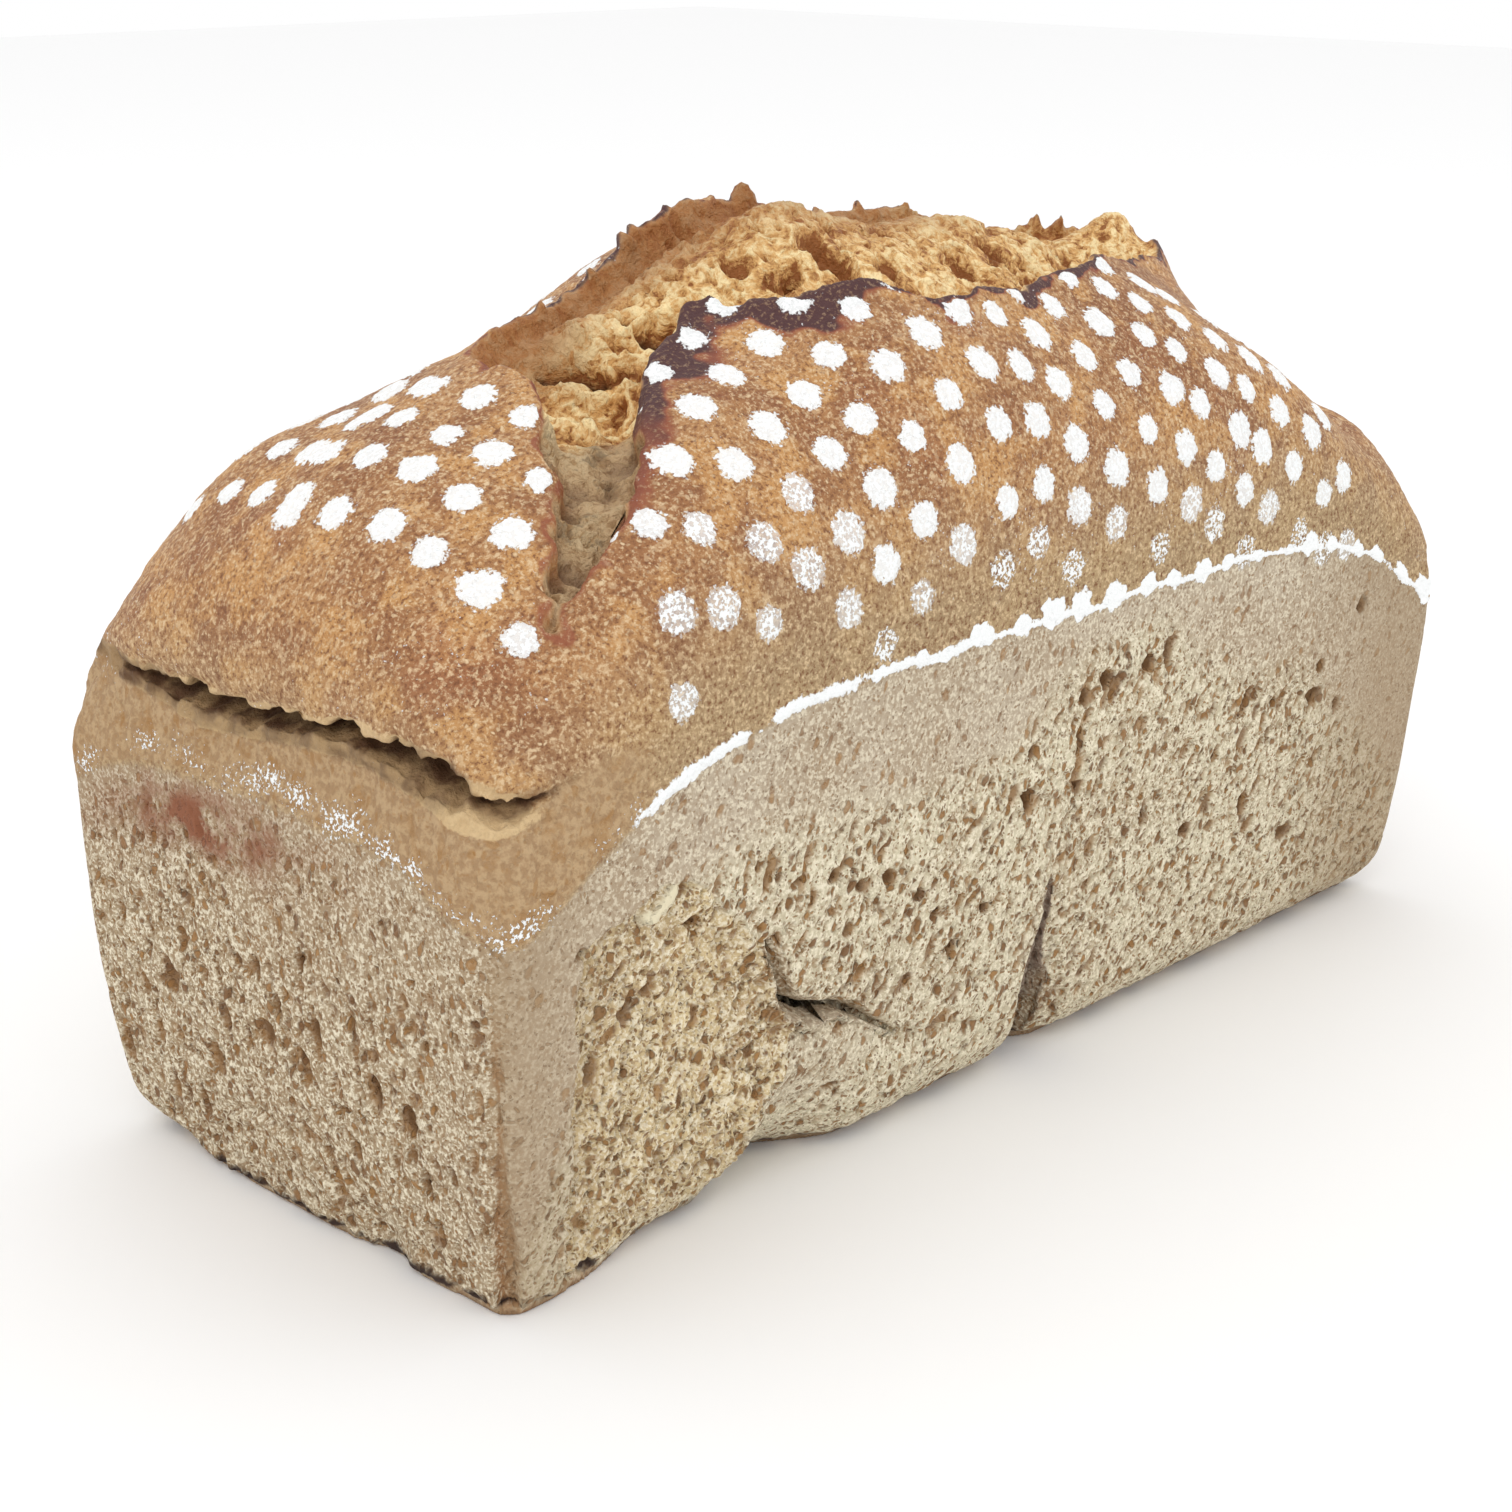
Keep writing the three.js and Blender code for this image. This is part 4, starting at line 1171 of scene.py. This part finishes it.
# paler where the flakes stand up (painted highlight), browner in the pores and where the crumb lies deep
# (painted shade)
tone = (flakes - 0.5) * 2.0 + (mottle - 0.5) * 0.9 - (deep - 0.5) * 1.2 - pores * 0.3 + 0.54
stops = [(0.1, "crumbBrownShade"), (0.45, "crumb"), (0.8, "crumbPaleHighlight")]
warmCrumb = crust.node("ShaderNodeValToRGB", {
    "stops": [(at, crustColours[name]) for at, name in stops]}, {"Fac": tone})
greyCrumb = crust.layered(
    "crumbGrey",
    (pores, "tearCrumb"),
    (between(flakes, 0.5, 0.38) * 0.8, "tearCrumb"),
    (between(mottle + flakes * 0.6, 0.84, 0.94) * 0.8, "tearShade"),
    (between(deep, 0.6, 0.95) * 0.7, "tearShade"),
)
crumbColour = crust.layered(
    warmCrumb,
    (read("slantLow") * 0.85, greyCrumb),
    (read("farBurst") * 0.85, "farLip"),
    (read("lipEdge") * 0.6, "farLip"),
    # painted shadow in the slits between the ledges
    (between(read("slit"), 0.35, 0.8), "gapShadow"),
)

# flour: dots, the line along the rim mark, and loose dust
grain = (crust.noise(fine["flour"], 2) - 0.5) * 0.9 + (flakes - 0.5) * 0.9
thin = between(speck + flakes * 0.5, 0.79, 0.7) * read("dotFade")
dots = between(read("dotField") + grain, 1.08, 0.92) * (1 - thin)
line = between(read("rimFlour") + grain * 1.1, 0.4, 0.62)
dusty = speck + mottle * 0.5
endDust = between(dusty + read("endFlour") * 0.4, 1.17, 1.25)
dust = between(dusty + (broad - 0.5) * 0.5, 0.99, 1.06) * between(above, 3, 12) * 0.7
flour = dots.most(line).most(dust * (1 - crumbMask)).most(endDust)
flour = (flour * (1 - crumbMask * 0.9) * (1 - read("tearHeart"))).clamped()

wallMask = read("wallMask")
lip = between(read("tearLip") + (flakes - 0.5) * 0.9 + (mottle - 0.5) * 0.7, 0.55, 0.8)
whole = crust.layered(
    domeColour,
    (wallMask, wallColour),
    (lip * 0.65, "torn"),
    # painted shade in the end tear's gap: a dark brown, mottled with the crumb's own colour
    (read("tearHeart"), crust.layered("gapShadow", (between(mottle, 0.4, 0.65), "tearCrumb"))),
    (crumbMask, crumbColour),
    # painted shadow along the foot: a near-black brown over the lowest few mm of the walls, patchy with the
    # mottle
    (between(read("baseEdge") + (mottle - 0.5) * 1.4, 0.6, 1.0), "footShadow"),
    (read("underMask"), "under"),
    (flour, "flour"),
)
wallRelief = speck * 0.35 - pores * (openness * 0.5 + 0.4) - finePores * 0.35
domeRelief = grains * 0.22 + domeSpots * 0.8 + spots * 0.4 + speck * 0.2
relief = wallMask * wallRelief + (1 - wallMask) * domeRelief
relief = relief + crumbMask * flakes * 2.2 + band * spots + flour * 0.3
bump = crust.node("ShaderNodeBump", None, {
    "Height": relief, "Distance": fine["relief"], "Strength": fine["reliefStrength"]})
crust.set(Base_Color=whole, Roughness=between(above, 2, 30, 0.9, 0.62) + flour * 0.3, Normal=bump)
crust.shader.inputs["Specular IOR Level"].default_value = 0.35

for block in blocks:
    block.data.materials.clear()
    block.data.materials.append(crust.material)
    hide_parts("loaf")
    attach(block, "root")
print("crust finished")


deselectAll()
bpy.ops.mesh.primitive_plane_add(size=6, location=(0, 0, -0.0002))
floor = bpy.context.object
floor.name = "paleFloor"
paleFloor = Finish("paleFloor")
paleFloor.set(Base_Color=(0.95, 0.95, 0.95, 1), Roughness=0.9)
floor.data.materials.append(paleFloor.material)

studio = {
    "sky": 1.0,
    # place, size, power, colour
    "lamps": [
        ((-1.1, -0.9, 1.5), 0.8, 5, (1, 0.99, 0.97)),
        ((0.9, -1.3, 1.1), 1.4, 1, (0.98, 0.99, 1)),
        ((0.1, 0.4, 1.9), 1.2, 3, (1, 1, 1)),
    ],
}
scene = bpy.context.scene
scene.world = scene.world or bpy.data.worlds.new("studioSky")
scene.world.use_nodes = True
sky = scene.world.node_tree.nodes["Background"]
sky.inputs["Color"].default_value = (1, 1, 1, 1)
sky.inputs["Strength"].default_value = studio["sky"]
for n, (place, size, power, tint) in enumerate(studio["lamps"]):
    lamp = bpy.data.lights.new(f"softLamp{n + 1}", "AREA")
    lamp.size, lamp.energy, lamp.color = size, power, tint
    holder = bpy.data.objects.new(lamp.name, lamp)
    holder.location = place
    holder.rotation_euler = (Vector((0, 0, 0.07)) - Vector(place)).to_track_quat("-Z", "Y").to_euler()
    scene.collection.objects.link(holder)

cameraSet = {"place": (-367.236, -327.931, 217.462), "yaw": 0.81314, "pitch": 0.326534, "roll": 0.005214,
             "lens": 61.905, "sensor": 36}
yaw, pitch, roll = cameraSet["yaw"], cameraSet["pitch"], cameraSet["roll"]
forward = Vector((math.sin(yaw) * math.cos(pitch), math.cos(yaw) * math.cos(pitch), -math.sin(pitch)))
across = Vector((math.cos(yaw), -math.sin(yaw), 0))
upward = across.cross(forward)
right = across * math.cos(roll) + upward * math.sin(roll)
top = upward * math.cos(roll) - across * math.sin(roll)
camera = bpy.data.objects.new("photoCamera", bpy.data.cameras.new("photoCamera"))
camera.data.lens, camera.data.sensor_width = cameraSet["lens"], cameraSet["sensor"]
camera.data.clip_start, camera.data.clip_end = 0.01, 20
turn = Matrix((right, top, -forward)).transposed().to_4x4()
camera.matrix_world = Matrix.Translation(Vector(cameraSet["place"]) * mm) @ turn
scene.collection.objects.link(camera)
scene.camera = camera
scene.view_settings.view_transform = "Standard"
